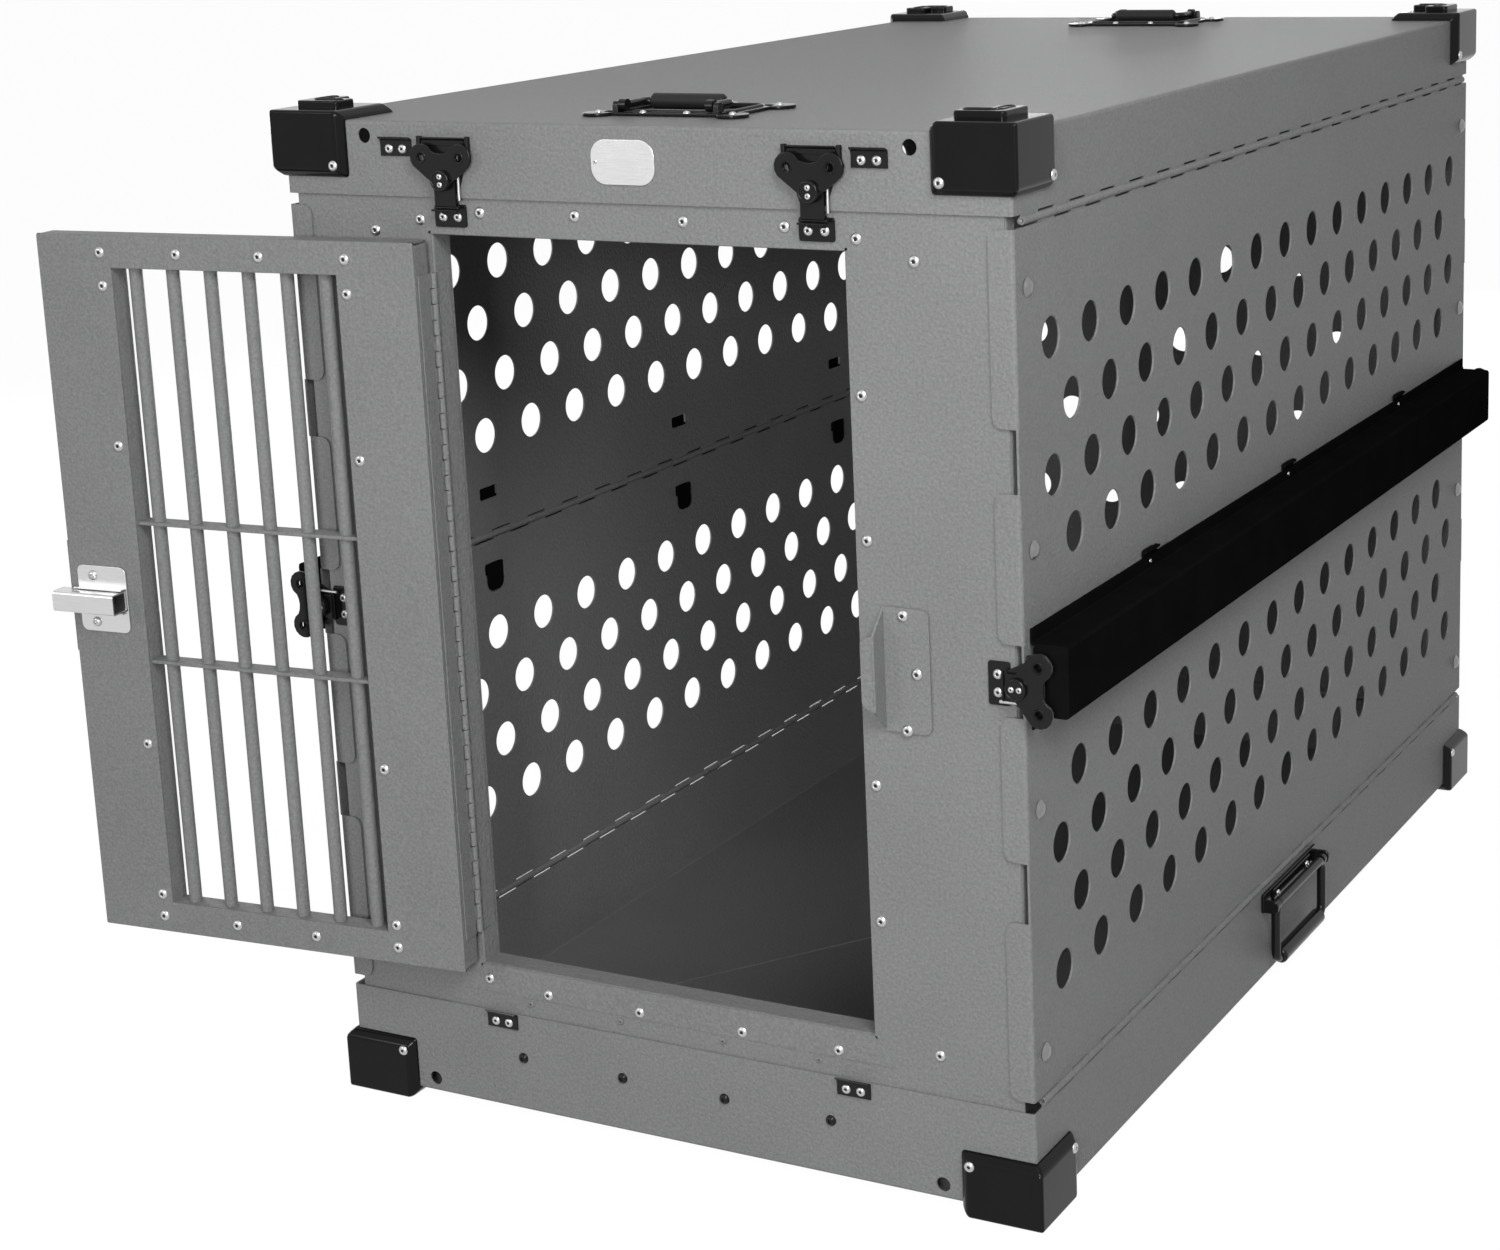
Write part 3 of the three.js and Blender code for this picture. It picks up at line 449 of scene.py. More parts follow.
def swept(points, radius, flat, sides=12, closed=False, place=None):
    """A round bar along points that lie in the plane whose normal is flat."""
    bm = bmesh.new()
    line, normal = [Vector(p) for p in points], Vector(flat).normalized()
    count, rings = len(points), []
    for i, point in enumerate(line):
        before = line[i - 1] if closed or i else line[0]
        after = line[(i + 1) % count] if closed or i < count - 1 else line[-1]
        side = (after - before).normalized().cross(normal)
        rings.append([
            bm.verts.new(point + radius * (math.cos(a) * side + math.sin(a) * normal))
            for a in [2 * math.pi * k / sides for k in range(sides)]])
    pairs = list(zip(rings, rings[1:])) + ([(rings[-1], rings[0])] if closed else [])
    for low, high in pairs:
        for k in range(sides):
            bm.faces.new([low[k - 1], low[k], high[k], high[k - 1]])
    if not closed:
        bm.faces.new(rings[0])
        bm.faces.new(rings[-1])
    return taken(bm, place)


def place_at(origin, u=(1, 0, 0), w=(0, 0, 1)):
    """A place whose own x runs along u and whose own z points along w."""
    x, z = Vector(u), Vector(w)
    y = z.cross(x)
    turn = Matrix((x, y, z)).transposed().to_4x4()
    return Matrix.Translation(Vector(origin)) @ turn


ALONG_X = place_at((0, 0, 0), (0, 1, 0), (1, 0, 0))
ALONG_Y = place_at((0, 0, 0), (1, 0, 0), (0, -1, 0))
LYING = Matrix.Rotation(math.radians(90), 4, "Y")
print("shape helpers ready")

# %% [markdown]
# ## From shapes to a piece
# Blender shades a smooth mesh by averaging normals, which would smear the eased edges
# over the flat sheets. Weighted normals let the large faces win, so flats stay flat and
# only the narrow edges turn. They are worked out once and kept in the mesh. Then the
# piece rides on its body, and hides the plain solids that it stands for.

# %% Paint and add a piece


def painted(meshes, material, place=None):
    """These shapes in one material, and moved to place where one is given."""
    made = meshes if isinstance(meshes, list) else [meshes]
    for mesh in made:
        mesh.materials.clear()
        mesh.materials.append(material)
        for polygon in mesh.polygons:
            polygon.material_index = 0
        if place is not None:
            mesh.transform(place)
    return made


def put(name, data):
    """A new object in the scene."""
    made = bpy.data.objects.new(name, data)
    bpy.context.scene.collection.objects.link(made)
    return made


def kept(holder):
    """The evaluated shape of an object, as a plain mesh; the object is removed."""
    bpy.context.scene.collection.objects.link(holder)
    bpy.context.view_layer.update()
    evaluated = holder.evaluated_get(bpy.context.evaluated_depsgraph_get())
    mesh = bpy.data.meshes.new_from_object(evaluated)
    bpy.data.objects.remove(holder)
    return mesh


def joined(meshes):
    """One mesh of many, each with the materials it was painted with."""
    bm, materials = bmesh.new(), []
    for mesh in meshes:
        slots = []
        for material in mesh.materials:
            if material not in materials:
                materials.append(material)
            slots.append(materials.index(material))
        first = len(bm.faces)
        bm.from_mesh(mesh)
        bm.faces.ensure_lookup_table()
        for face in bm.faces[first:]:
            face.material_index = slots[face.material_index] if slots else 0
            face.smooth = True
    whole = bpy.data.meshes.new("piece")
    bm.to_mesh(whole)
    bm.free()
    for material in materials:
        whole.materials.append(material)
    return whole


triangles = {}


def add_piece(name, meshes, body, stands_for=()):
    mesh = joined(meshes)
    mesh.set_sharp_from_angle(angle=math.radians(50))
    holder = bpy.data.objects.new("holder", mesh)
    weighted = holder.modifiers.new("flats win", "WEIGHTED_NORMAL")
    weighted.keep_sharp = True
    mesh = kept(holder)
    mesh.name = name
    mesh.transform(TO_METRES)
    piece = put(name, mesh)
    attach(piece, body)
    if stands_for:
        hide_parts(*stands_for)
    triangles[name] = sum(len(p.vertices) - 2 for p in mesh.polygons)
    print(f"{name}: {triangles[name]} triangles, on {body}")


print("pieces can be added")

# %% [markdown]
# ## Three trees for what repeats
# Hinge knuckles, bars, perforations and rivets are each one small shape many times over.
# Geometry Nodes place them from a few named sizes. One tree sets a shape in a row, one
# makes a sheet with staggered holes, and one stamps rivets where marks say. Each result
# is taken as a plain mesh, because instances don't survive an export.

# %% Run a tree


def geometry_tree(name, inputs):
    """An empty tree with these named inputs, its graph, and a socket for each input."""
    tree = bpy.data.node_groups.new(name, "GeometryNodeTree")
    for label, kind in inputs.items():
        tree.interface.new_socket(label, in_out="INPUT", socket_type="NodeSocket" + kind)
    tree.interface.new_socket(
        "Geometry", in_out="OUTPUT", socket_type="NodeSocketGeometry")
    graph, given = Graph(tree), tree.nodes.new("NodeGroupInput")
    return tree, graph, {label: Socket(graph, given.outputs[label]) for label in inputs}


def finished(graph, geometry, material):
    """The end of every tree: real geometry, with its material."""
    real = graph.node("RealizeInstances", Geometry=geometry)
    return graph.node("SetMaterial", Geometry=real, Material=material)


def put_out(graph, geometry):
    graph.node("NodeGroupOutput", Geometry=geometry)


def shape_of(graph, given):
    return graph.node("ObjectInfo", output="Geometry", Object=given)


def instances(graph, points, shape, **others):
    return graph.node("InstanceOnPoints", Points=points, Instance=shape, **others)


def grown(tree, place=None, **values):
    """What a tree makes of these values; a mesh given as a value is lent as an object."""
    holder = bpy.data.objects.new("grown", bpy.data.meshes.new("grown"))
    modifier, lent = holder.modifiers.new(tree.name, "NODES"), []
    modifier.node_group = tree
    for item in tree.interface.items_tree:
        if item.in_out == "OUTPUT":
            continue
        value = values[item.name.replace(" ", "_")]
        if isinstance(value, bpy.types.Mesh):
            value = put(item.name, value)
            lent.append(value)
        modifier[item.identifier] = value
    mesh = kept(holder)
    for helper in lent:
        bpy.data.objects.remove(helper)
    if place is not None:
        mesh.transform(place)
    return mesh


# %% A shape in a row
row_tree, g, given = geometry_tree("shape in a row", {
    "Shape": "Object", "Count": "Int", "Start": "Vector", "Step": "Vector",
    "Finish": "Material"})
line = g.node(
    "MeshLine", {"mode": "OFFSET"}, Count=given["Count"], Start_Location=given["Start"],
    Offset=given["Step"])
put_out(g, finished(g, instances(g, line, shape_of(g, given["Shape"])), given["Finish"]))
print(row_tree.name, "is ready")

# %% A perforated sheet
sheet_tree, g, given = geometry_tree("perforated sheet", {
    "Outline": "Object", "Rim": "Object", "Thickness": "Float", "Rim Radius": "Float",
    "Rim Steps": "Int", "First Columns": "Int", "Next Columns": "Int", "Pitch": "Float",
    "Row Pitch": "Float", "First Row": "Float", "Finish": "Material"})
edges = shape_of(g, given["Outline"])
hole = g.node(
    "CurvePrimitiveCircle", Resolution=given["Rim Steps"], Radius=given["Rim Radius"])
row_pitch, first_row = given["Row Pitch"], given["First Row"]


def two_rows(columns, middle):
    """Every second row of hole centres: a grid of two rows about its middle height."""
    points = g.node(
        "MeshGrid", Size_X=(columns - 1) * given["Pitch"], Size_Y=2 * row_pitch,
        Vertices_X=columns, Vertices_Y=2)
    lift = g.node("ShaderNodeCombineXYZ", Y=middle)
    return g.node("Transform", Geometry=points, Translation=lift)


centres = g.node("JoinGeometry", Geometry=[
    two_rows(given["First Columns"], first_row + row_pitch),
    two_rows(given["Next Columns"], first_row + 2 * row_pitch)])
circles = g.node("RealizeInstances", Geometry=instances(g, centres, hole))
outline = g.node("MeshToCurve", Mesh=edges)
cut = g.node("JoinGeometry", Geometry=[circles, outline])
face = g.node("FillCurve", Curve=cut)
up = g.node("ShaderNodeCombineXYZ", Z=given["Thickness"])
upper = g.node("Transform", Geometry=face, Translation=up)
lower = g.node("FlipFaces", Mesh=face)
walls = g.node("ExtrudeMesh", {"mode": "EDGES"}, Mesh=edges, Offset=up)
rims = g.node(
    "RealizeInstances", Geometry=instances(g, centres, shape_of(g, given["Rim"])))
sheet = g.node("JoinGeometry", Geometry=[upper, lower, walls, rims])
sheet = g.node("MergeByDistance", Geometry=sheet, Distance=0.01)
put_out(g, finished(g, sheet, given["Finish"]))
print(sheet_tree.name, "is ready")

# %% Rivets on marks
stamp_tree, g, given = geometry_tree("rivets on marks", {
    "Marks": "Object", "Head": "Object", "Core": "Object", "Size": "Float",
    "Head Finish": "Material", "Core Finish": "Material"})
facing = g.node(
    "InputNamedAttribute", {"data_type": "FLOAT_VECTOR"}, "Attribute", Name="facing")
turn = g.node("FunctionNodeAlignRotationToVector", {"axis": "Z"}, Vector=facing)
marks = shape_of(g, given["Marks"])
layers = [
    finished(
        g, instances(g, marks, shape_of(g, given[part]), Rotation=turn, Scale=given["Size"]),
        given[part + " Finish"])
    for part in ("Head", "Core")]
put_out(g, g.node("JoinGeometry", Geometry=layers))
print(stamp_tree.name, "is ready")

# %% [markdown]
# ## Rivets
# The sheets are held with blind rivets. A blind rivet has a low dome with a hole in the
# middle, where the pulled mandrel broke off inside. Its turned profile is drawn once,
# and a mark for each rivet says where it sits and which way it faces.

# %% Rivet heads
RIVET = turned([
    (0, 0), (4, 0), (3.95, 0.4), (3.4, 1.15), (2.5, 1.65), (1.75, 1.75), (1.35, 1.5),
    (1.25, 0.7), (0, 0.7)], 16)
# the core sits in the rivet's hole and is given near black as painted shade in that hole
CORE = turned([(0, 0.5), (1.25, 0.5), (1.25, 0.85), (0.6, 1.0), (0, 1.02)], 12)
STUD = turned([
    (0, 0), (6, 0), (6.1, 0.5), (5.5, 1.0), (5.2, 1.1), (4.4, 2.2), (2.9, 3.0), (1.4, 3.3),
    (0, 3.4)], 20)
BUTTON = turned([
    (0, 0), (4, 0), (3.9, 0.7), (3.1, 1.8), (2.0, 2.3), (1.5, 2.3), (1.3, 1.4), (0, 1.4)],
    16)
all_marks = []


def fasteners(marks, size=1.2, head=RIVET, finish=rivet_metal):
    """Rivets at these marks, each a point in millimetres and the way it faces."""
    all_marks.extend(marks)
    mesh = bpy.data.meshes.new("marks")
    mesh.from_pydata([tuple(point) for point, _ in marks], [], [])
    facing_of = mesh.attributes.new("facing", "FLOAT_VECTOR", "POINT")
    for item, (_, way) in zip(facing_of.data, marks):
        item.vector = Vector(way)
    return grown(
        stamp_tree, Marks=mesh, Head=head, Core=CORE, Size=size, Head_Finish=finish,
        Core_Finish=painted_hole_shade)


print("rivet heads:", len(RIVET.polygons), "faces each")

# %% [markdown]
# ## Piano hinges
# Each fold of the crate runs on a piano hinge: short knuckles rolled from alternate
# sheets around one long pin. Seen from the cabin, the gaps between a sheet and the other
# sheet's knuckles make a dashed line. One knuckle with its web is drawn, then set in a
# row, every second place for each sheet.

# %% Knuckles
SIDE_HINGE = box_mm("right_hinge_pin_middle")[1].y * 2
DOOR_HINGE = box_mm("door_hinge_pin")[1].z - box_mm("door_hinge_pin")[0].z
END_HINGE = box_mm("back_wall_hinge_pin")[1].x * 2
SIDE_KNUCKLES, END_KNUCKLES, DOOR_KNUCKLES = 39, 22, 44
KNUCKLE_GAP = 0.8


def knuckle(length, web):
    """One knuckle along z from zero, with a web towards +y."""
    tube = turned([
        (2.0, 0), (2.9, 0), (BARREL_R, 0.35), (BARREL_R, length - 0.35), (2.9, length),
        (2.0, length), (1.6, length - 0.3), (1.6, 0.3), (2.0, 0)], 14)
    return joined([tube, block((-0.9, 0.9), (1.7, web), (0.1, length - 0.1), edge=0)])


def knuckle_row(length, count, first, place, web=KNUCKLE_ROOM + 0.3):
    """Every second knuckle of count, centred on place, whose z runs along the pin."""
    step = length / count
    start = -length / 2 + first * step + KNUCKLE_GAP / 2
    return grown(
        row_tree, place, Shape=knuckle(step - KNUCKLE_GAP, web),
        Count=(count + 1 - first) // 2, Start=(0, 0, start), Step=(0, 0, 2 * step),
        Finish=coat)


def end_row(out, first, web_up):
    """A row on an end wall's hinge; web_up is 1 or -1."""
    pin = (0, out * END_PIN.y, END_PIN.z)
    return knuckle_row(
        END_HINGE, END_KNUCKLES, first, place_at(pin, (0, web_up * out, 0), (out, 0, 0)))


print(f"side hinges {SIDE_HINGE:.0f} mm, door hinge {DOOR_HINGE:.0f} mm")

# %% [markdown]
# ## The two pans
# The base and the lid are pressed pans, 2 mm thick, with skirts that the walls fold into.
# Each starts as a box without its open face. The bends are rounded first, then Solidify
# gives the wall its thickness inward, and the four small corner holes are cut through.

# %% Pans
BEND = 3.0
CORNER_HOLE_R, CORNER_HOLE_X, CORNER_HOLE_IN = 6, 244.0, 12


def box_bm(size, middle):
    bm = bmesh.new()
    bmesh.ops.create_cube(bm, size=1)
    bmesh.ops.scale(bm, vec=size, verts=bm.verts)
    bmesh.ops.translate(bm, vec=middle, verts=bm.verts)
    return bm


def pan(low, high, opening):
    """A pan between two heights; opening is 1 where it is open upwards, -1 downwards."""
    bm = box_bm((2 * HALF_W, 2 * HALF_L, high - low), (0, 0, (low + high) / 2))
    bm.faces.ensure_lookup_table()
    open_face = [f for f in bm.faces if f.normal.z * opening > 0.9]
    bmesh.ops.delete(bm, geom=open_face, context="FACES_ONLY")
    bends = [e for e in bm.edges if len(e.link_faces) == 2]
    bmesh.ops.bevel(
        bm, geom=bends, offset=BEND, segments=5, profile=0.5, affect="EDGES",
        clamp_overlap=False)
    bmesh.ops.recalc_face_normals(bm, faces=bm.faces)
    if max(bm.faces, key=lambda f: f.calc_area()).normal.z * opening > 0:
        bmesh.ops.reverse_faces(bm, faces=bm.faces)
    shell = bpy.data.meshes.new("pan")
    bm.to_mesh(shell)
    bm.free()
    holder = bpy.data.objects.new("pan", shell)
    wall = holder.modifiers.new("wall", "SOLIDIFY")
    wall.thickness, wall.offset, wall.use_even_offset = SHEET, -1, True
    return holder


def pierced(holder, drills):
    """Cuts the drills out of the holder's shape and eases every edge that is left."""
    cutter = put("drills", joined(drills))
    hole_cut = holder.modifiers.new("holes", "BOOLEAN")
    hole_cut.object, hole_cut.operation, hole_cut.solver = cutter, "DIFFERENCE", "EXACT"
    eased = holder.modifiers.new("eased", "BEVEL")
    eased.width, eased.segments, eased.limit_method = 0.4, 2, "ANGLE"
    eased.angle_limit = math.radians(50)
    mesh = kept(holder)
    bpy.data.objects.remove(cutter)
    return mesh


def corner_drills(height):
    along_y = Matrix.Rotation(math.radians(90), 4, "X")
    return [
        cylinder(CORNER_HOLE_R, -8, 8, 28, Matrix.Translation(
            (side * CORNER_HOLE_X, end * HALF_L, height)) @ along_y)
        for side, end in product((-1, 1), (-1, 1))]


base_pan = pierced(pan(0, BASE_RIM, 1), corner_drills(CORNER_HOLE_IN))
lid_pan = pierced(pan(LID_RIM, LID_TOP, -1), corner_drills(LID_TOP - CORNER_HOLE_IN))
print("pans:", len(base_pan.polygons), "and", len(lid_pan.polygons), "faces")

# %% [markdown]
# ## Keepers and hinge rows on the pans
# Small angle keepers on the skirts take the latches when the crate is folded flat. Each
# is a short plate with two screws and a lip along its top that leans out. Their screws
# and the knuckles belong to the same body as the pans, so they are built beside them.

# %% Stow keepers
STOW_ROWS = ((LID_TOP - 20.5, 212), (BASE_RIM - 6.5, 168))
STOW_SCREW_X = 6.5


def on_end(out, x, height):
    """A place on an end skirt, seen from outside: x to the side, y up and z out."""
    return place_at((x, out * HALF_L, height), (-out, 0, 0), (0, out, 0))


screw_marks, keepers = [], []
for (_, out), (height, spread), (_, side) in product(ENDS, STOW_ROWS, SIDES):
    place = on_end(out, side * spread, height)
    keepers.append(bent(
        [(-7, 0.3), (6.2, 0.3), (8.5, 4.6)], -15, 15, 1.5, 0.8, place @ ALONG_X, 0.25))
    screw_marks += [(place @ Vector((dx, -1.2, 1.8)), (0, out, 0))
                    for dx in about(0, STOW_SCREW_X)]
add_piece("stow_keepers", painted(keepers, steel_black), "root")
print("keepers:", len(keepers))

# %% Hinge rows on the pans
BEAD_ENDS, BEAD_R = ((-190, -322, SHEET), (30, -3, SHEET)), 0.8


def side_rows(height, web_up):
    """The pan's own knuckles on the side hinges at a height, on both sides."""
    return [
        knuckle_row(SIDE_HINGE, SIDE_KNUCKLES, 0, place_at(
            (side * (HALF_W - SHEET / 2), 0, height), (-web_up, 0, 0), (0, 1, 0)))
        for _, side in SIDES]


leaves = [
    block(about(0, END_HINGE / 2),
          sorted((out * (WALL_FACE - 1.4), out * (HALF_L - 1))), (35, END_PIN.z - 3.4))
    for _, out in ENDS]
bead = swept(BEAD_ENDS, BEAD_R, (0, 0, 1), 8)
add_piece(
    "base_pan", painted([base_pan, bead, *leaves], coat) + side_rows(LOW_PIN, -1)
    + [end_row(out, 0, -1) for _, out in ENDS], "root", ["base_tray"])
add_piece(
    "lid_pan", painted(lid_pan, coat) + side_rows(TOP_PIN, 1), "root",
    ["lid_tray"])

# %% [markdown]
# ## Perforated side walls
# Each side is two halves on three hinges. A half is a sheet with four staggered rows of
# round holes, slots for the rail's hooks beside the middle hinge, and two tabs at each
# end, bent in over the end walls. The four halves are one shape turned four ways, so the
# sheet, tabs and knuckles are drawn once, from the middle hinge outward.

# %% Perforated sheet
HOLE_R = 15.85
RIM_EASE, RIM_STEPS = 0.45, 36
RIM = turned([
    (HOLE_R + RIM_EASE, 0), (HOLE_R + 0.3 * RIM_EASE, 0.3 * RIM_EASE), (HOLE_R, RIM_EASE),
    (HOLE_R, SHEET - RIM_EASE), (HOLE_R + 0.3 * RIM_EASE, SHEET - 0.3 * RIM_EASE),
    (HOLE_R + RIM_EASE, SHEET)], RIM_STEPS)


def edge_loops(loops):
    """The outlines as a mesh of edges, for the tree to fill and to raise."""
    mesh = bpy.data.meshes.new("outline")
    points, edges = [], []
    for loop in loops:
        first, count = len(points), len(loop)
        points += [(x, y, 0) for x, y in loop]
        edges += [(first + k, first + (k + 1) % count) for k in range(count)]
    mesh.from_pydata(points, edges, [])
    return mesh


def perforated(loops, columns, pitch, row_pitch, first_row=0.0, place=None):
    """A sheet with two and two staggered rows of holes; its seams are closed."""
    mesh = grown(
        sheet_tree, place, Outline=edge_loops(loops), Rim=RIM, Thickness=SHEET,
        Rim_Radius=HOLE_R + RIM_EASE, Rim_Steps=RIM_STEPS, First_Columns=columns[0],
        Next_Columns=columns[1], Pitch=pitch, Row_Pitch=row_pitch, First_Row=first_row,
        Finish=coat)
    bm = bmesh.new()
    bm.from_mesh(mesh)
    bmesh.ops.remove_doubles(bm, verts=bm.verts, dist=0.01)
    bmesh.ops.recalc_face_normals(bm, faces=bm.faces)
    bm.to_mesh(mesh)
    bm.free()
    return mesh


print("rim of a hole:", len(RIM.polygons), "faces")

# %% Side halves
PITCH, ROW_PITCH, FIRST_ROW = 72.8, 51.8, 92.6
TAB_SPANS = ((28, 142), (190, 336))
TAB_DEEP, TAB_CORNER = 21, 8
HOOKS = (-330, 0, 330)
SLOTS, SLOT_HALF = {"upper": (34.6, 45.5), "lower": (25.5, 36.4)}, 13
HALF_HIGH = TOP_PIN - KNUCKLE_ROOM - MID_PIN


def half_outline(slot):
    """A half's edge: narrower where a tab's bend starts, with its hook slots."""
    free, bend = HALF_L - 0.5, HALF_L - BEND
    side = [(free, KNUCKLE_ROOM)]
    for low, high in TAB_SPANS:
        side += [(free, low), (bend, low), (bend, high), (free, high)]
    side = side[:-2] + [(bend, HALF_HIGH)]
    outer = side + [(-x, y) for x, y in side[::-1]]
    return [outer] + [rectangle(about(x, SLOT_HALF), slot, 2) for x in HOOKS]


def tab(low, high):
    """One bent-in tab at the +x end of a half, and the same one at the other end."""
    foot = SHEET - TAB_DEEP
    shapes = [
        bent([(HALF_L, -2), (HALF_L, SHEET), (HALF_L - BEND - 0.05, SHEET)], -high, -low,
             SHEET, BEND, ALONG_Y),
        plate([rounded([(low, foot), (high, foot), (high, -2), (low, -2)],
                       [TAB_CORNER, TAB_CORNER, 0, 0])], HALF_L - SHEET, HALF_L, ALONG_X, 0.3)]
    for mesh in shapes[:]:
        shapes.append(mesh.copy())
        shapes[-1].transform(Matrix.Diagonal((-1, 1, 1, 1)))
        shapes[-1].flip_normals()
    return shapes


def side_half(slot, middle_first):
    """A half sheet with its tabs and knuckles, lying flat."""
    sheet = perforated(half_outline(slot), (14, 15), PITCH, ROW_PITCH, FIRST_ROW)
    tabs = [shape for low, high in TAB_SPANS for shape in tab(low, min(high, HALF_HIGH))]
    inner = place_at((0, 0, SHEET / 2), (0, 0, -1), (1, 0, 0))
    outer = place_at((0, HALF_HIGH + KNUCKLE_ROOM, SHEET / 2), (0, 0, 1), (1, 0, 0))
    return [sheet, *tabs,
            knuckle_row(SIDE_HINGE, SIDE_KNUCKLES, middle_first, inner),
            knuckle_row(SIDE_HINGE, SIDE_KNUCKLES, 1, outer)]


for (side, sign), (half, way) in product(SIDES, (("upper", 1), ("lower", -1))):
    place = place_at(
        (sign * (HALF_W - SHEET), 0, MID_PIN), (0, sign * way, 0), (sign, 0, 0))
    shapes = side_half(SLOTS[half], 1 if way > 0 else 0)
    add_piece(
        f"{side}_{half}_sheet", painted(shapes, coat, place), "root",
        [f"{side}_wall_{half}_half"])

# %% [markdown]
# ## End walls
# The front wall is a pan with a doorway. Its sides and top are folded back, and so are
# the doorway's edges, which hides the raw cut from a dog's nose and stiffens the opening.
# The back wall is the same pan, vented instead. Both stand just inside the tabs.

# %% Folded edges
FLANGE, REVEAL = 12.0, 21.0
WALL_FOOT = END_PIN.z + KNUCKLE_ROOM
WALL_X = about(0, WALL_HALF - BEND)


def fold(at, span, deep, sign, across, thick=SHEET, radius=BEND):
    """A folded edge over span, upright at x or across at a height; sign says which side
    of it the metal is on."""
    path = [(at, -deep), (at, 0), (at - sign * radius, 0)]
    section = bent_section(path if sign > 0 else path[::-1], thick, radius)
    if across:
        return plate([section], *span, ALONG_X)
    return plate([section], -span[1], -span[0], ALONG_Y)


def folds_round(x, y, deep, sign, thick=SHEET, radius=BEND):
    """Folds on all four sides; sign is 1 round a sheet and -1 round a hole in it."""
    return [
        fold(at, grow(other, -sign * radius), deep, way, across, thick, radius)
        for across, spot, other in ((False, x, y), (True, y, x))
        for at, way in ((spot[0], -sign), (spot[1], sign))]


def wall_edges():
    high, deep = (BASE_RIM + 8, WALL_TOP - BEND), SHEET + FLANGE
    return [
        fold(WALL_HALF, high, deep, 1, False), fold(-WALL_HALF, high, deep, -1, False),
        fold(WALL_TOP, WALL_X, deep, 1, True)]


print("folds:", FLANGE, "mm round a wall,", REVEAL, "mm in the doorway")

# %% Latch keepers
LATCH_REACH = {"lid": 24, "rail": 13}
KEEPER_HALF = {"lid": 15, "rail": 17}


def pull_way(kind, sign):
    return (0, 0, 1) if kind == "lid" else (sign, 0, 0)


def wall_keepers(end, out):
    """The latch keepers on an end wall, in the crate's place, and their screws."""
    shapes, marks = [], []
    for kind, (side, sign) in product(LATCH_REACH, SIDES):
        at = joint_mm(f"wing_{kind}_{end}_{side}_turn")
        spot = place_at((at.x, out * WALL_FACE, at.z), pull_way(kind, sign), (0, out, 0))
        lip, half = 3 - LATCH_REACH[kind], KEEPER_HALF[kind]
        shapes += [
            plate([rectangle((lip - 17, lip + 1), (-half, half), 2)], 0.1, SHEET, spot, 0.3),
            bent([(lip - 1.5, 0.4), (lip + 0.5, 0.4), (lip + 0.5, 4.8)], -12, 12, 1.4, 0.7,
                 spot @ ALONG_Y, 0.2)]
        marks += [(spot @ Vector((lip - 9, v, 1.8)), (0, out, 0)) for v in (-7, 7)]
    return shapes, marks


print("latches reach", LATCH_REACH)

# %% Front wall
to_front = place_at((0, -WALL_FACE, 0), (1, 0, 0), (0, -1, 0))
to_back = place_at((0, WALL_FACE, 0), (-1, 0, 0), (0, 1, 0))
DOOR_PIN = joint_mm("door_swing")
DOOR_MIDDLE = sum(DOORWAY_Z) / 2
DOOR_HINGE_Z = about(DOOR_MIDDLE, DOOR_HINGE / 2)
sill = [(x, DOORWAY_Z[0] - 0.6) for x in DOORWAY_X]
sill += [(x, DOORWAY_Z[0] - 25) for x in grow(DOORWAY_X, 20)[::-1]]
skin = [
    plate([rectangle(WALL_X, (WALL_FOOT, WALL_TOP - BEND)),
           rectangle(grow(DOORWAY_X, BEND), grow(DOORWAY_Z, BEND))[::-1]], -SHEET, 0),
    plate([sill], -0.5, 0.7, None, 0.4),
    *folds_round(DOORWAY_X, DOORWAY_Z, SHEET + REVEAL, -1), *wall_edges()]
jamb_leaf = block(
    (DOORWAY_X[0] - 0.4, DOOR_PIN.x - 0.7), (2.4 - WALL_FACE, 18.5 - WALL_FACE),
    DOOR_HINGE_Z)
jamb_row = knuckle_row(
    DOOR_HINGE, DOOR_KNUCKLES, 0,
    Matrix.Translation((DOOR_PIN.x - 1.3, DOOR_PIN.y, DOOR_MIDDLE)), 6.8)
front_keepers, front_screws = wall_keepers(*ENDS[0])
add_piece(
    "front_wall_panel",
    painted(skin, coat, to_front) + painted(jamb_leaf, coat) + [jamb_row, end_row(-1, 1, 1)],
    "root", ["front_wall"])
add_piece("front_keepers", painted(front_keepers, steel_black), "root")

# %% Back wall
VENT_PITCH = 92.0
first_vent = (END_PIN.z + WALL_TOP) / 2 - 1.5 * VENT_PITCH
vented = perforated(
    [rectangle(WALL_X, (WALL_FOOT - first_vent, WALL_TOP - BEND - first_vent))], (5, 4),
    VENT_PITCH, VENT_PITCH, place=Matrix.Translation((0, first_vent, -SHEET)))
back_keepers, back_screws = wall_keepers(*ENDS[1])
add_piece(
    "back_wall_panel", painted([vented, *wall_edges()], coat, to_back) + [end_row(1, 1, 1)]
    + painted(back_keepers, steel_black), "back_panel", ["back_wall"])

# %% [markdown]
# ## The door
# The door is a shallow pan with a folded window, closed by a flat liner on the cabin's
# side. Six round bars pass through two flat strips in the window. It is drawn shut, from
# its hinge pin, then swung to where it stands, so every part of it turns as one.

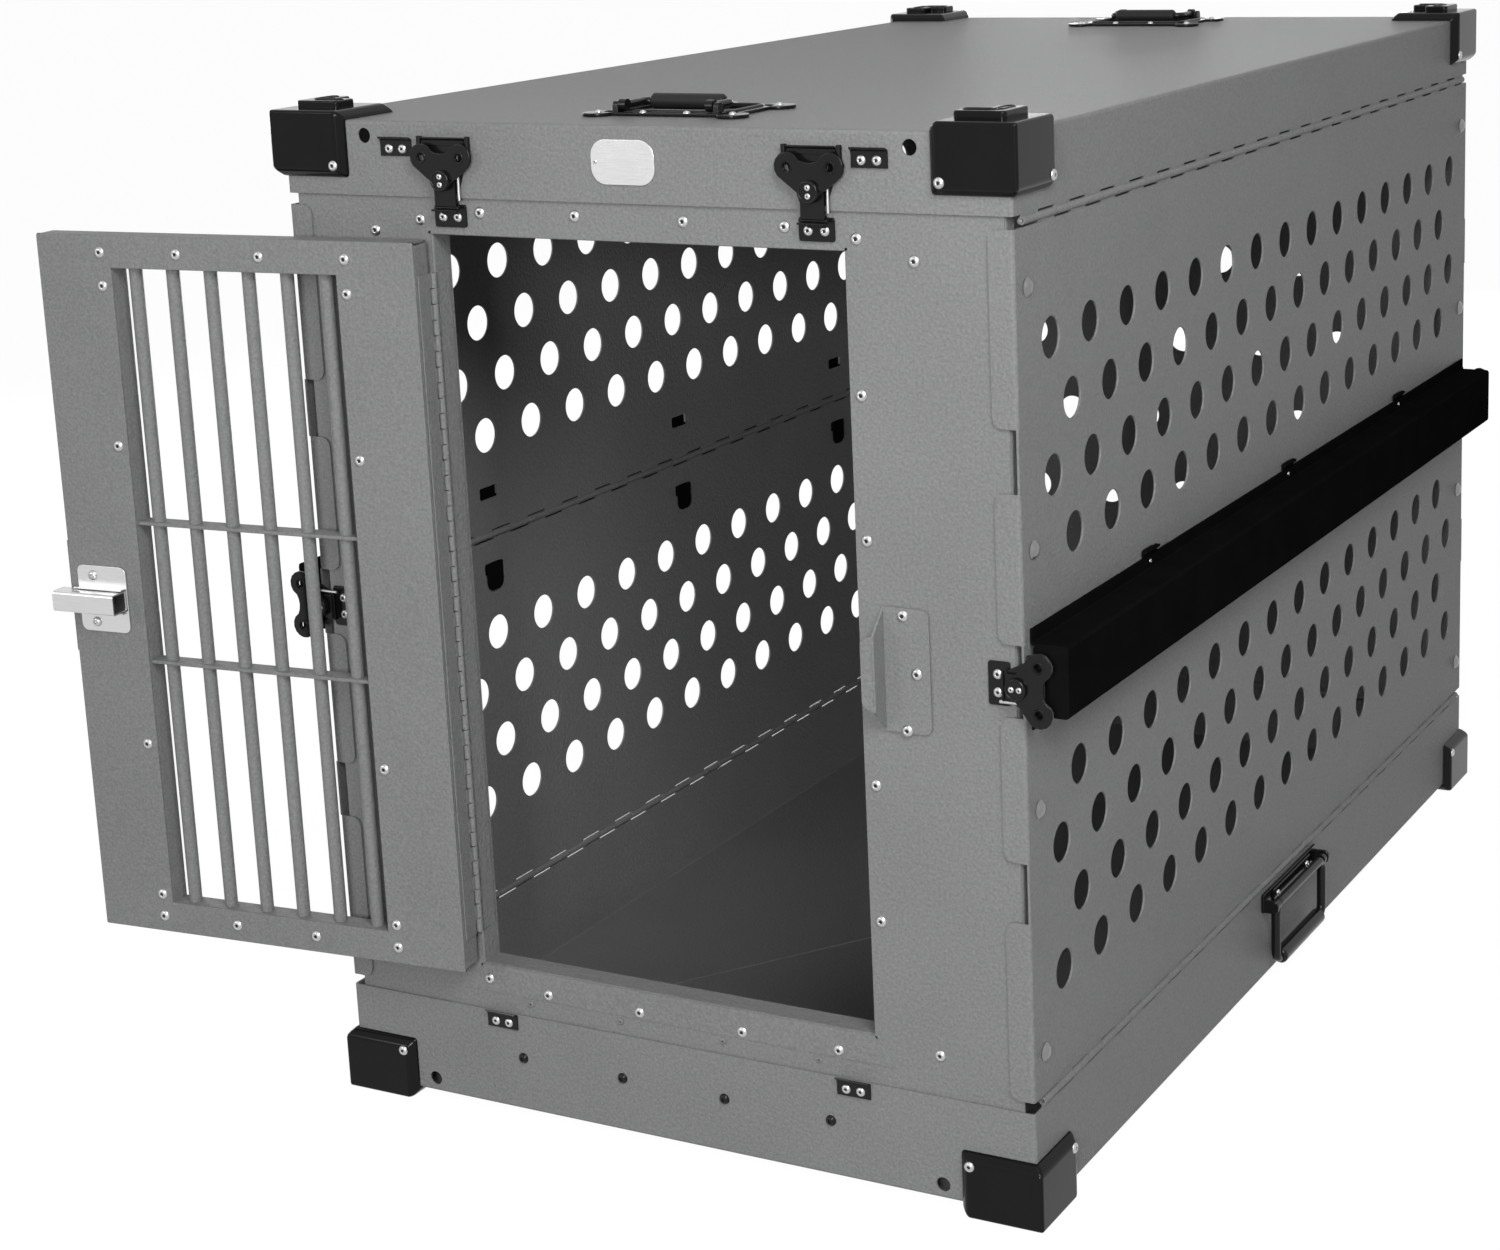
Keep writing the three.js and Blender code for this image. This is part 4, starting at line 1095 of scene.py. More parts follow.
# %% Door sizes and place
DOOR_T, DOOR_SHEET, DOOR_BEND, DOOR_GAP = 22.0, 1.8, 2.6, 2.5
INSIDE = -DOOR_T
DOOR_X = (2.1, DOORWAY_X[1] - DOOR_GAP - DOOR_PIN.x)
DOOR_Z = grow(DOORWAY_Z, -DOOR_GAP)
WINDOW_X, WINDOW_Z = grow(DOOR_X, -73), grow(DOOR_Z, -27.5)
door_swing = next(j for j in frame["joints"] if j["name"] == "door_swing")
swung = Matrix.Translation((DOOR_PIN.x, DOOR_PIN.y, 0)) @ Matrix.Rotation(
    -math.radians(door_swing["range_deg"][1]), 4, "Z")
# in the door's own place x runs from the pin, y is height, z is out when the door is shut
to_door = swung @ place_at((0, -WALL_FACE - DOOR_PIN.y, 0), (1, 0, 0), (0, -1, 0))
print(f"door {DOOR_X[1] - DOOR_X[0]:.1f} x {DOOR_Z[1] - DOOR_Z[0]:.1f} mm")

# %% Door pan and liner
fold_deep = DOOR_T - DOOR_SHEET - 0.3
door_pan = [
    plate([rectangle(grow(DOOR_X, -DOOR_BEND), grow(DOOR_Z, -DOOR_BEND)),
           rectangle(grow(WINDOW_X, DOOR_BEND), grow(WINDOW_Z, DOOR_BEND))[::-1]],
          -DOOR_SHEET, 0),
    *folds_round(DOOR_X, DOOR_Z, fold_deep, 1, DOOR_SHEET, DOOR_BEND),
    *folds_round(WINDOW_X, WINDOW_Z, fold_deep, -1, DOOR_SHEET, DOOR_BEND)]
door_liner = plate(
    [rectangle(DOOR_X, DOOR_Z, 1.5), rectangle(WINDOW_X, WINDOW_Z)[::-1]], INSIDE,
    INSIDE + DOOR_SHEET, None, 0.6)
# near black blocks at the door's corners: painted shade where the folds leave slits
slit_shades = [
    block(about(x, 2.6), about(y, 1.1), (INSIDE + 0.9, INSIDE + 2.6))
    for x, y in product(grow(DOOR_X, -2.7), grow(DOOR_Z, -0.9))]
add_piece(
    "door_pan", painted(door_pan, coat, to_door) + painted(slit_shades, painted_hole_shade, to_door),
    "door", ["door_frame"])
add_piece(
    "door_inner_sheet", painted(door_liner, coat, to_door), "door",
    ["door_liner"])

# %% Bars and strips
BAR_R, BAR_PITCH, BARS = 5.6, 37.2, 6
STRIP_UP, STRIP_HALF_DEEP, STRIP_HALF_THICK = 61, 8, 1.5
bar = cylinder(BAR_R, 0, WINDOW_Z[1] - WINDOW_Z[0] - 0.2)
bar.transform(Matrix.Rotation(math.radians(-90), 4, "X"))
first_bar = sum(WINDOW_X) / 2 - (BARS - 1) / 2 * BAR_PITCH
bars = grown(
    row_tree, to_door, Shape=bar, Count=BARS, Start=(first_bar, WINDOW_Z[0] + 0.1, INSIDE / 2),
    Step=(BAR_PITCH, 0, 0), Finish=coat)
strips = [
    block(grow(WINDOW_X, -0.2), about(y, STRIP_HALF_THICK),
          about(INSIDE / 2, STRIP_HALF_DEEP), edge=0.5)
    for y in about(DOOR_MIDDLE, STRIP_UP)]
add_piece(
    "door_bars", [bars] + painted(strips, coat, to_door), "door",
    ["door_grille"])

# %% Door hinge leaf
door_leaf = block((0.6, 1.8), (5.8, 22.1), DOOR_HINGE_Z, swung, 0.3)
door_row = knuckle_row(
    DOOR_HINGE, DOOR_KNUCKLES, 1, swung @ Matrix.Translation((1.2, 0, DOOR_MIDDLE)), 6.4)
add_piece(
    "door_hinge_knuckles", painted(door_leaf, coat) + [door_row], "door",
    ["door_hinge_leaf"])

# %% [markdown]
# ## Door latch
# A square tube of brushed stainless slides in a folded plate on the inner side, and a
# stem joins it to a thumb pad outside. A bent bracket on the outer side is the pull, and
# the same bracket on the front wall shields the bolt's strike. Both are coated grey.

# %% Bolt and its plate
LATCH_Z = MID_PIN - 1.5
FREE_EDGE = DOOR_X[1]
BOLT_L, BOLT_WIDE, BOLT_WALL, BOLT_PROUD = 63, 18, 1.5, 6
PLATE_T, PLATE_CHEEK = 1.5, 9.4
latch_x = (FREE_EDGE - 58.4, FREE_EDGE - 8.4)
stem_x = (FREE_EDGE - 27, FREE_EDGE - 22)
face_in = INSIDE - 0.3
bolt_centre = face_in - PLATE_T - 0.3 - BOLT_WIDE / 2


outside, inside = about(0, BOLT_WIDE / 2), about(0, BOLT_WIDE / 2 - BOLT_WALL)
tube_loop = rectangle(outside, outside, 2.6, 5)
tube = [
    plate([tube_loop, rectangle(inside, inside, 1.2, 5)[::-1]], 0, BOLT_L - 2, ALONG_X, 0.25),
    plate([tube_loop], BOLT_L - 2, BOLT_L, ALONG_X, 0.5)]
stem_and_pad = [
    block(stem_x, about(LATCH_Z, 4), (bolt_centre + 8, 4)),
    plate([rectangle(grow(stem_x, 2), about(LATCH_Z, 10), 3)], 3.2, 15.2, None, 1.2, 3)]
latch_plate = [
    plate([rectangle(latch_x, about(LATCH_Z, 29), 6, 5)], face_in - PLATE_T, face_in, None,
          0.35),
    *[block((latch_x[0] + 1, latch_x[1]), about(LATCH_Z + side * (PLATE_CHEEK + 0.75), 0.75),
            (face_in - 8.5, face_in - 0.5), edge=0.5) for _, side in SIDES]]
add_piece(
    "latch_back_plate", painted(latch_plate, brushed, to_door), "door",
    ["door_latch_plate"])
tube_place = to_door @ Matrix.Translation(
    (FREE_EDGE + BOLT_PROUD - BOLT_L, LATCH_Z, bolt_centre))
add_piece(
    "bolt_tube", painted(tube, brushed, tube_place) + painted(stem_and_pad, brushed, to_door),
    "bolt", ["door_bolt"])
print("bolt", BOLT_L, "mm long")

# %% Pull and strike brackets
STRIKE_X = 207
UPENDED = place_at((0, 0, 0), (0, 0, -1), (1, 0, 0))


def bent_bracket(flange_x, far_x, lip_x):
    """A plate, a flange standing from one edge, and its lip; x across, y up, z out."""
    base = [(far_x, -49), (far_x, 49), (flange_x, 49), (flange_x, -49)]
    flange = [(-0.3, -49), (-19.3, -30), (-19.3, 30), (-0.3, 49)]
    lip = [(lip_x, -26), (lip_x, 26), (flange_x, 30), (flange_x, -30)]
    return [
        plate([rounded(base, [6, 6, 0, 0])], 0.3, 2.3, None, 0.35),
        plate([flange], flange_x, flange_x + 2, UPENDED, 0.35),
        plate([rounded(lip, [5, 5, 0, 0])], 17.3, 19.3, None, 0.35)]


up_to_latch = Matrix.Translation((0, LATCH_Z, 0))
pull = bent_bracket(FREE_EDGE - 42, FREE_EDGE + 4, FREE_EDGE - 32)
pull.append(block((FREE_EDGE + 0.3, FREE_EDGE + 1.8), (-49, 49), (-21, 0.4)))
strike = bent_bracket(STRIKE_X, STRIKE_X + 40, STRIKE_X - 10)
add_piece(
    "pull_bracket", painted(pull, coat, to_door @ up_to_latch), "door",
    ["door_pull"])
add_piece(
    "strike_bracket", painted(strike, coat, to_front @ up_to_latch), "root",
    ["strike_guard"])

# %% [markdown]
# ## Side rails
# A hat-section rail hooks over the middle hinge on each side and keeps the two halves
# from folding. It is one bent sheet: two flanges, two ledges and a front. Tongues reach
# through the slots, rounded hooks hang behind the wall, and small ears stand above.

# %% Rails
RAIL_OUT, RAIL_LEDGE, RAIL_T = 31.0, 28.0, 1.6
RAIL_HALF = HALF_L - 10
RAIL_PATH = [(2, -39), (2, -28), (RAIL_OUT, -28), (RAIL_OUT, 28), (2, 28), (2, 39)]
RAIL_BENDS = [0, 1, 3.2, 3.2, 1, 0]
TONGUES = (7 + RAIL_LEDGE, -8 - RAIL_LEDGE)


def rail_shapes():
    """A rail in its own place: x out from the side, y up from the middle hinge."""
    shapes = [plate(
        [bent_section(RAIL_PATH, RAIL_T, RAIL_BENDS, 5)], -RAIL_HALF, RAIL_HALF, None, 0.3)]
    cap = rectangle((3, RAIL_OUT - 1.2), (-26.6, 26.6), 2)
    for z in (-RAIL_HALF, RAIL_HALF - RAIL_T):
        shapes.append(plate([cap], z, z + RAIL_T, None, 0.3))
    for z in HOOKS:
        shapes += [block((-3.2, 1), (y, y + 2), about(z, 11)) for y in TONGUES]
        shapes += [
            plate([rectangle(about(-z, 12), (-51, -25.5), [8, 8, 1, 1])], -4.6, -3.0, UPENDED,
                  0.4),
            block((0.4, 2.0), (38, 45), about(z, 15), edge=0.5),
            block((1.6, 4.6), (42.5, 44.8), about(z, 15), edge=0.5)]
    return shapes


for side, sign in SIDES:
    place = place_at((sign * HALF_W, 0, MID_PIN), (sign, 0, 0), (0, -sign, 0))
    add_piece(
        f"{side}_hat_rail", painted(rail_shapes(), rail_black, place), f"{side}_rail",
        [f"{side}_side_rail"])
    marks = [(place @ Vector((1.9, y, z)), (sign, 0, 0))
             for z, y in product(HOOKS, (33.5, -33.5))]
    add_piece(f"{side}_rail_rivets", [fasteners(marks, 0.5)], f"{side}_rail")

# %% [markdown]
# ## Butterfly latches
# Eight draw latches hold the crate together. Turning the butterfly wing moves a hook by
# a crank under the boss, and the hook pulls a keeper tight. The wing is pressed plate
# with two holed lobes, the boss is turned, and the hook is a bent strip with a flared
# lip. One latch is drawn from its post, then placed on the lid and the rails.

# %% Parts of a latch
LOBE_X, LOBE_Y, LOBE_R = 18, 18, 11
CASE_HIGH = {"lid": 32, "rail": 20}
LIP_TOP = {"lid": 8.8, "rail": 5.2}


def arc(centre, radius, start, end, steps=8):
    turn = [math.radians(start + (end - start) * k / steps) for k in range(steps + 1)]
    return [(centre[0] + radius * math.cos(a), centre[1] + radius * math.sin(a))
            for a in turn]


def wing_shapes():
    """The wing: x along the pull, y across, z out from the skirt."""
    outline = [(-6.5, -3.5), (-2.5, -8.6), *arc((LOBE_X, -LOBE_Y), LOBE_R, -130, 62)]
    outline += [(21.6, -4.5), (21.0, 0), (21.6, 4.5)]
    outline += arc((LOBE_X, LOBE_Y), LOBE_R, -62, 130) + [(-2.5, 8.6), (-6.5, 3.5)]
    holes = [ring((LOBE_X, y), 3.2, 16)[::-1] for y in (-LOBE_Y, LOBE_Y)]
    collar = [(3.4, 8.4), (3.6, 9.2), (4.3, 9.3), (4.9, 8.6), (4.9, 8.3), (3.4, 8.4)]
    boss = [(0, 5.6), (7.6, 5.6), (8.6, 6.2), (8.75, 7), (8.75, 10.8), (8.3, 11.6),
            (7.6, 11.9), (7.0, 11.7), (6.7, 11.0), (0, 11.0)]
    return [
        plate([outline] + holes, 5.7, 8.5, None, 0.7, 3), turned(boss, 28),
        *[turned(collar, 20, Matrix.Translation((LOBE_X, y, 0)))
          for y in (-LOBE_Y, LOBE_Y)]]


def hook_shapes(kind):
    """The draw hook: a strip over the seat, its hooked tip and its flared lip."""
    tip = 2.6 - LATCH_REACH[kind]
    lip = [(tip + 1.0, 3.4), (tip - 1.2, 3.4), (tip - 1.8, LIP_TOP[kind])]
    return [
        bent([(13, 5.1), (tip, 5.1), (tip, 0.7)], -10, 10, 1.9, 1.0, ALONG_Y, 0.35),
        bent(lip, -11.5, 11.5, 1.4, 0.7, ALONG_Y, 0.3)]


def case_shapes(high):
    """The case behind the wing: its plate, raised edge and rolled loops."""
    base = [(-11, -11), (high - 10, -22), (high, -22), (high, 22), (high - 10, 22), (-11, 11)]
    start, end = high - 13, high + 2
    roll = [(1.2, start), (2.3, start), (2.3, end), (1.2, end), (1.2, start)]
    raised = [(high - 5, 2.4), (high - 0.5, 2.4), (high + 1.6, 4.9)]
    return [
        plate([rounded(base, 2)], 0.3, 2.5, None, 0.4),
        bent(raised, -20.5, 20.5, 1.3, 0.7, ALONG_Y, 0.25),
        *[turned(roll, 14, Matrix.Translation((0, y, 2.7)) @ LYING) for y in (-23, 23)]]


def brace_shape(high):
    return swept([(-16, -12.6, 3.2), (high - 8, -12.6, 3.2)], 1.3, (0, 1, 0), 10)


print("latch cases:", CASE_HIGH)

# %% Place the latches
cases = {"root": [], "left_rail": [], "right_rail": []}
for kind, (end, out), (side, sign) in product(LATCH_REACH, ENDS, SIDES):
    label = f"{kind}_{end}_{side}"
    place = place_at(joint_mm(f"wing_{label}_turn"), pull_way(kind, sign), (0, out, 0))
    marks = [(place @ Vector((x, 0, 10.9)), (0, out, 0)) for x in (-3.2, 3.2)]
    add_piece(
        f"butterfly_{label}",
        painted(wing_shapes(), steel_black, place) + [fasteners(marks, 0.62)],
        f"wing_{label}", [f"latch_wing_{label}"])
    add_piece(
        f"draw_hook_{label}", painted(hook_shapes(kind), steel_black, place),
        f"hook_{label}", [f"latch_hook_{label}"])
    high = CASE_HIGH[kind]
    cases["root" if kind == "lid" else f"{side}_rail"] += (
        painted(case_shapes(high), steel_black, place)
        + painted(brace_shape(high), rivet_metal, place))
for carrier, shapes in cases.items():
    name = "lid_latch_cases" if carrier == "root" else f"{carrier}_latch_cases"
    add_piece(name, shapes, carrier)
print("latches:", sum(1 for n in triangles if n.startswith("butterfly")))

# %% [markdown]
# ## Corner guards
# Glossy moulded guards wrap all eight corners. A guard is a block with every outer edge
# rounded and every free edge sloped, and the crate's own corner cut out of it. The lid's
# guards also carry a raised block, on which a second crate's feet stand.

# %% Guards
GUARD_T, GUARD_W, GUARD_H = 8.0, 72.0, 54.0
SLOPE, ROUND = 6.2, 2.6
BLOCK_TOP = 14.2
GUARD_RIVET_IN, GUARD_RIVET_UP = 54, 36


def guard_shell():
    """A guard at its corner's own place: x and y in along the edges, z off the pan."""
    wide = GUARD_W - GUARD_T
    middle = (wide - GUARD_T) / 2
    bm = box_bm((GUARD_W, GUARD_W, GUARD_H), (middle, middle, GUARD_T - GUARD_H / 2))
    free = []
    for edge in bm.edges:
        x, y, z = (edge.verts[0].co + edge.verts[1].co) / 2
        inner = x > wide - 1 or y > wide - 1
        low = z < GUARD_T - GUARD_H + 1
        if (inner and z > GUARD_T - 1) or (low and not inner) or (inner and abs(x - y) > 50):
            free.append(edge)
    bmesh.ops.bevel(bm, geom=free, offset=SLOPE, segments=1, affect="EDGES")
    ease(bm, ROUND, 4, 20)
    outer = bpy.data.objects.new("guard", taken(bm))
    return pierced(outer, [block((-0.3, 90), (-0.3, 90), (-90, 0.3), edge=0)])


def guard_top():
    """The lid guard's raised block, and the slots pressed in it."""
    ell = [(8, 8), (50, 8), (50, 32), (32, 32), (32, 50), (8, 50)]
    track = rectangle((20, 46), (16, 24), 3.9, 5)
    loops = [[(x, y, BLOCK_TOP) for x, y in track], [(y, x, BLOCK_TOP) for x, y in track]]
    return [plate([rounded(ell, [4, 4, 4, 2, 4, 4])], 6, BLOCK_TOP, None, 1.5, 3),
            *[swept(loop, 0.7, (0, 0, 1), 8, closed=True) for loop in loops]]


guard_marks = []
shell = guard_shell()
for (level, height, up), (end, out), (side, sign) in product(
        (("base", 0, -1), ("lid", LID_TOP, 1)), ENDS, SIDES):
    u = (-sign, 0, 0) if sign * out * up > 0 else (0, -out, 0)
    place = place_at((sign * HALF_W, out * HALF_L, height), u, (0, 0, up))
    shapes = [shell.copy()] + (guard_top() if up > 0 else [])
    add_piece(
        f"{level}_corner_{end}_{side}", painted(shapes, guard_black, place), "root",
        [f"{level}_guard_{end}_{side}"])
    z = height - up * GUARD_RIVET_UP
    guard_marks += [
        ((sign * (HALF_W - GUARD_RIVET_IN), out * (HALF_L + 7.8), z), (0, out, 0)),
        ((sign * (HALF_W + 7.8), out * (HALF_L - GUARD_RIVET_IN), z), (sign, 0, 0))]
print("guards:", len(guard_marks) // 2)

# %% [markdown]
# ## Handles
# The lid has a bail handle over each end: a black dished plate riveted on by its four
# ears, and a steel bail with a rubber grip that lies flat until it is lifted. Each side of
# the base has a closed ring that hangs from a bracket and folds out to carry the crate.

# %% Bails


def bail_shapes(half, arm, radius, grip, grip_half, closed):
    """A bail from its pivot: steel round the loop, and the grip on its far side."""
    if closed:
        path = rectangle((-half, half), (0, arm), 9, 6)
    else:
        path = rounded([(half, 0), (half, arm), (-half, arm), (-half, 0)], 7, 6, False)
    steel = swept([(x, y, 0) for x, y in path], radius, (0, 0, 1), 16, closed)
    end = grip_half
    rubber = turned(
        [(0, -end), (grip - 1.6, -end), (grip, 1.8 - end), (grip, end - 1.8),
         (grip - 1.6, end), (0, end)], 28, Matrix.Translation((0, arm, 0)) @ LYING)
    hubs = [cylinder(4.8, -3.2, 3.2, 20, Matrix.Translation((x, 0, 0)) @ LYING)
            for x in (-half, half)]
    return [steel, *hubs], rubber


def lugs(outline, near, far, corner, edge):
    """Two rounded lugs, from near to far along x on each side of the middle."""
    return [plate([rounded(outline, [0, 0, corner, corner])], *span, ALONG_X, edge)
            for span in ((near, far), (-far, -near))]


print("bails and lugs ready")

# %% Lid handles
PLATE_RIVET_Y = 36.5


def lid_plate_shapes():
    plan, dish = rectangle((-60, 60), (-38, 38), 9, 5), rectangle((-50, 50), (-28, 28), 7, 5)
    rail = [(x, y, 3.2) for x, y in rectangle((-52, 52), (-30, 30), 8, 5)]
    return [
        plate([plan, dish[::-1]], 0.3, 3, None, 0.6), plate([dish], 0.3, 1.0),
        *[plate([ring((x, y), 13), ring((x, y), 3.2, 14)[::-1]], 0.3, 3, None, 0.5)
          for x, y in product((-61, 61), (-PLATE_RIVET_Y, PLATE_RIVET_Y))],
        swept(rail, 1.6, (0, 0, 1), 8, closed=True),
        *lugs([(-37, 0.5), (-27, 0.5), (-28, 11.5), (-36, 11.5)], 43.4, 48.2, 3, 0.5)]


handle_marks = []
for end, out in ENDS:
    pivot = joint_mm(f"lid_bail_{end}_lift")
    place = place_at((0, pivot.y - out * 32, LID_TOP), (-out, 0, 0), (0, 0, 1))
    hung = place_at(pivot, (-out, 0, 0), (0, 0, 1))
    add_piece(
        f"lid_handle_base_{end}", painted(lid_plate_shapes(), steel_black, place), "root",
        [f"lid_handle_plate_{end}"])
    steel, rubber = bail_shapes(39.6, 32, 3.2, 6.4, 33, False)
    add_piece(
        f"lid_bail_loop_{end}",
        painted(steel, steel_black, hung) + painted(rubber, grip_black, hung),
        f"lid_bail_{end}", [f"lid_handle_bail_{end}"])
    handle_marks += [
        (place @ Vector((x, y, 2.9)), (0, 0, 1))
        for x, y in product((-61, -20, 20, 61), (-PLATE_RIVET_Y, PLATE_RIVET_Y))]

# %% Base handles


def hanger_shapes():
    """The hanger: a plate on the skirt, its two lugs and the strap over the ring."""
    return [
        plate([rectangle((-73, 73), (-7, 11), 2)], 0.3, 3, None, 0.5),
        *lugs([(-6, 2), (6, 2), (6, 17), (-6, 17)], 68.6, 72.8, 5, 0.6),
        block((-50, 50), (-4, 9), (2.8, 5.0), edge=0.8)]


for side, sign in SIDES:
    pivot = joint_mm(f"base_bail_{side}_swing")
    place = place_at((sign * HALF_W, 0, pivot.z), (0, sign, 0), (sign, 0, 0))
    hung = place_at(pivot, (0, -sign, 0), (sign, 0, 0))
    add_piece(
        f"base_handle_hanger_{side}", painted(hanger_shapes(), steel_black, place), "root",
        [f"base_handle_bracket_{side}"])
    steel, rubber = bail_shapes(63.8, 54, 4.4, 7.4, 54, True)
    add_piece(
        f"base_ring_{side}", painted([*steel, rubber], steel_black, hung),
        f"base_bail_{side}", [f"base_handle_bail_{side}"])
    handle_marks += [(place @ Vector((x, 2.5, 4.9)), (sign, 0, 0)) for x in (-40, 40)]
print("handles' rivets:", len(handle_marks))

# %% [markdown]
# ## The oval plate
# A bare stainless plate is riveted on the lid's front. It is brushed along its length,
# with flat top and bottom edges and round ends, and carries nothing.

# %% Oval plate
OVAL_HIGH, OVAL_CORNER = 34.5, 13
low, high = box_mm("name_plate")
half_long = (high - low).x / 2
oval_place = on_end(-1, 0, middle_mm("name_plate").z)
oval = rectangle(about(0, half_long), about(0, OVAL_HIGH / 2), OVAL_CORNER, 8)
add_piece(
    "oval_plate", painted(plate([oval], 0.3, 1.5, oval_place, 0.35, 3), plate_metal),
    "root", ["name_plate"])

# %% [markdown]
# ## Rivets on the walls
# Every visible rivet is marked from the part it fastens: a row round the doorway, three on
# the strike bracket, one on each outer face of a guard, and studs down the edges of the
# side walls, where the tabs are drawn to the wall.

# %% Marks
FRONT = (0, -1, 0)
WALL_RIVETS = [
    (-241, 747), (-196, 757), (-138, 764), (-49, 764), (49, 763), (137, 762), (197, 755),
    (244, 740), (196.5, 638), (196.5, 527), (196.5, 334), (196.5, 223), (244, 119.5),
    (-122, 108), (-32, 108), (65.5, 108), (154, 108), (-181, 113.5)]
TOP_ROW = 8
COATED_RIVETS = [(x, 97) for x in (-140, -51, 47, 136)]
STRIKE_RIVETS = [(225.5, 472), (236, 427.5), (226.5, 382)]
STUD_HEIGHTS, STUD_IN = (722, 527, 326, 130), 20.5


def on_front(spots, proud=0.0):
    return [((x, -WALL_FACE - proud, z), FRONT) for x, z in spots]


def rivets(name, groups, body="root"):
    """A piece of fasteners; each group is what fasteners is given."""
    add_piece(name, [fasteners(*group) for group in groups], body)


stud_marks = [
    ((side * HALF_W, end * (HALF_L - STUD_IN), z), (side, 0, 0))
    for side, end, z in product((-1, 1), (-1, 1), STUD_HEIGHTS)]
back_marks = [((-x, WALL_FACE, z), (0, 1, 0)) for x, z in WALL_RIVETS[:TOP_ROW]]
oval_mark = (oval_place @ Vector((4 - half_long, 0, 1.5)), FRONT)
rivets("front_wall_rivets", [(on_front(WALL_RIVETS) + on_front(STRIKE_RIVETS, 2.3),)])
rivets("back_wall_rivets", [(back_marks,), (back_screws, 1.0)], "back_panel")
rivets("sill_rivets", [(on_front(COATED_RIVETS, 0.6), 0.7, RIVET, coat)])
rivets("side_wall_studs", [(stud_marks, 1.2, STUD, stud_metal)])
rivets("guard_rivets", [(guard_marks, 1.1)])
rivets("handle_rivets", [(handle_marks, 0.75, BUTTON), ([oval_mark], 0.45)])
rivets("keeper_screws", [(screw_marks + front_screws, 1.0)])

# %% Door rivets and screws
SIDE_COLUMNS = (66, 304)
door_spots = [
    *product((66, 147.5, 228, 304), grow(WINDOW_Z, 13)),
    *product(SIDE_COLUMNS, (700, 564, 301.5, 164))]
door_in = to_door.to_3x3() @ Vector((0, 0, -1))
rivets("door_rivets", [(
    [(to_door @ Vector((x, y, INSIDE)), door_in) for x, y in door_spots]
    + [(to_door @ Vector((x, y, 0)), -door_in) for x, y in door_spots],)], "door")
rivets("latch_plate_screws", [(
    [(to_door @ Vector((343, LATCH_Z + y, face_in - PLATE_T)), door_in)
     for y in (20.5, -20.5)], 1.1, BUTTON)], "door")
rivets("base_pan_screws", [(
    [((x, -HALF_L, 47.5), FRONT) for x in (-150, -51, 47, 145.5)], 1.15, BUTTON,
    steel_black)])
print("rivets, studs and screws:", len(all_marks))

# %% [markdown]
# ## Hinge pins
# The nine hinge pins are right as they are in the solid model, so they only get their
# bare steel.

# %% Finish the solids that stay
for name, node in frame["nodes"].items():
    node.data.materials.clear()
    node.data.materials.append(pin_steel if "pin" in name else coat)
print("solids given a finish:", len(frame["nodes"]))

# %% [markdown]
# ## Stage, light and camera
# The crate stands on a pale floor. Two lamps in front light the lid, the front and the
# right side, one shines in through the doorway, and others light the top, the left and the
# back. The world is white where the camera or a reflection sees it, and dimmer as a light,
# so a coat renders about as it is written.

# %% Floor
FLOOR_GAP, FLOOR_HALF, FLOOR_GREY = 0.0004, 30, 0.45
FLOOR_GLOW, GLOW_SHARE = 1.14, 0.85
floor_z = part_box("base_guard_front_left")[0].z - FLOOR_GAP
floor_mesh = bpy.data.meshes.new("studio_floor")
square = rectangle(about(0, FLOOR_HALF), about(0, FLOOR_HALF))
floor_mesh.from_pydata([(x, y, floor_z) for x, y in square], [], [(0, 1, 2, 3)])
floor = put("studio_floor", floor_mesh)


def seen_directly(graph):
    """1 for the camera's, mirrored and refracted rays, 0 for rays that only light."""
    camera_ray, glossy_ray, clear_ray = [
        graph.node("LightPath", output=f"Is {kind} Ray")
        for kind in ("Camera", "Glossy", "Transmission")]
    return graph.node("Clamp", Value=camera_ray + glossy_ray + clear_ray)


floor_white, g, shader, place = new_finish("pale studio floor")
g.feed(shader, Base_Color=(*[FLOOR_GREY] * 3, 1), Roughness=0.9, Specular_IOR_Level=0.0)
glow = g.node("Emission", Color=(1, 1, 1, 1), Strength=FLOOR_GLOW)
surface = g.node(
    "MixShader", Fac=GLOW_SHARE * seen_directly(g), Shader=Socket(g, shader.outputs[0]),
    Shader_001=glow)
g.feed(next(n for n in g.tree.nodes if n.type == "OUTPUT_MATERIAL"), Surface=surface)
floor.data.materials.append(floor_white)
print("floor at", round(floor_z, 4), "m")

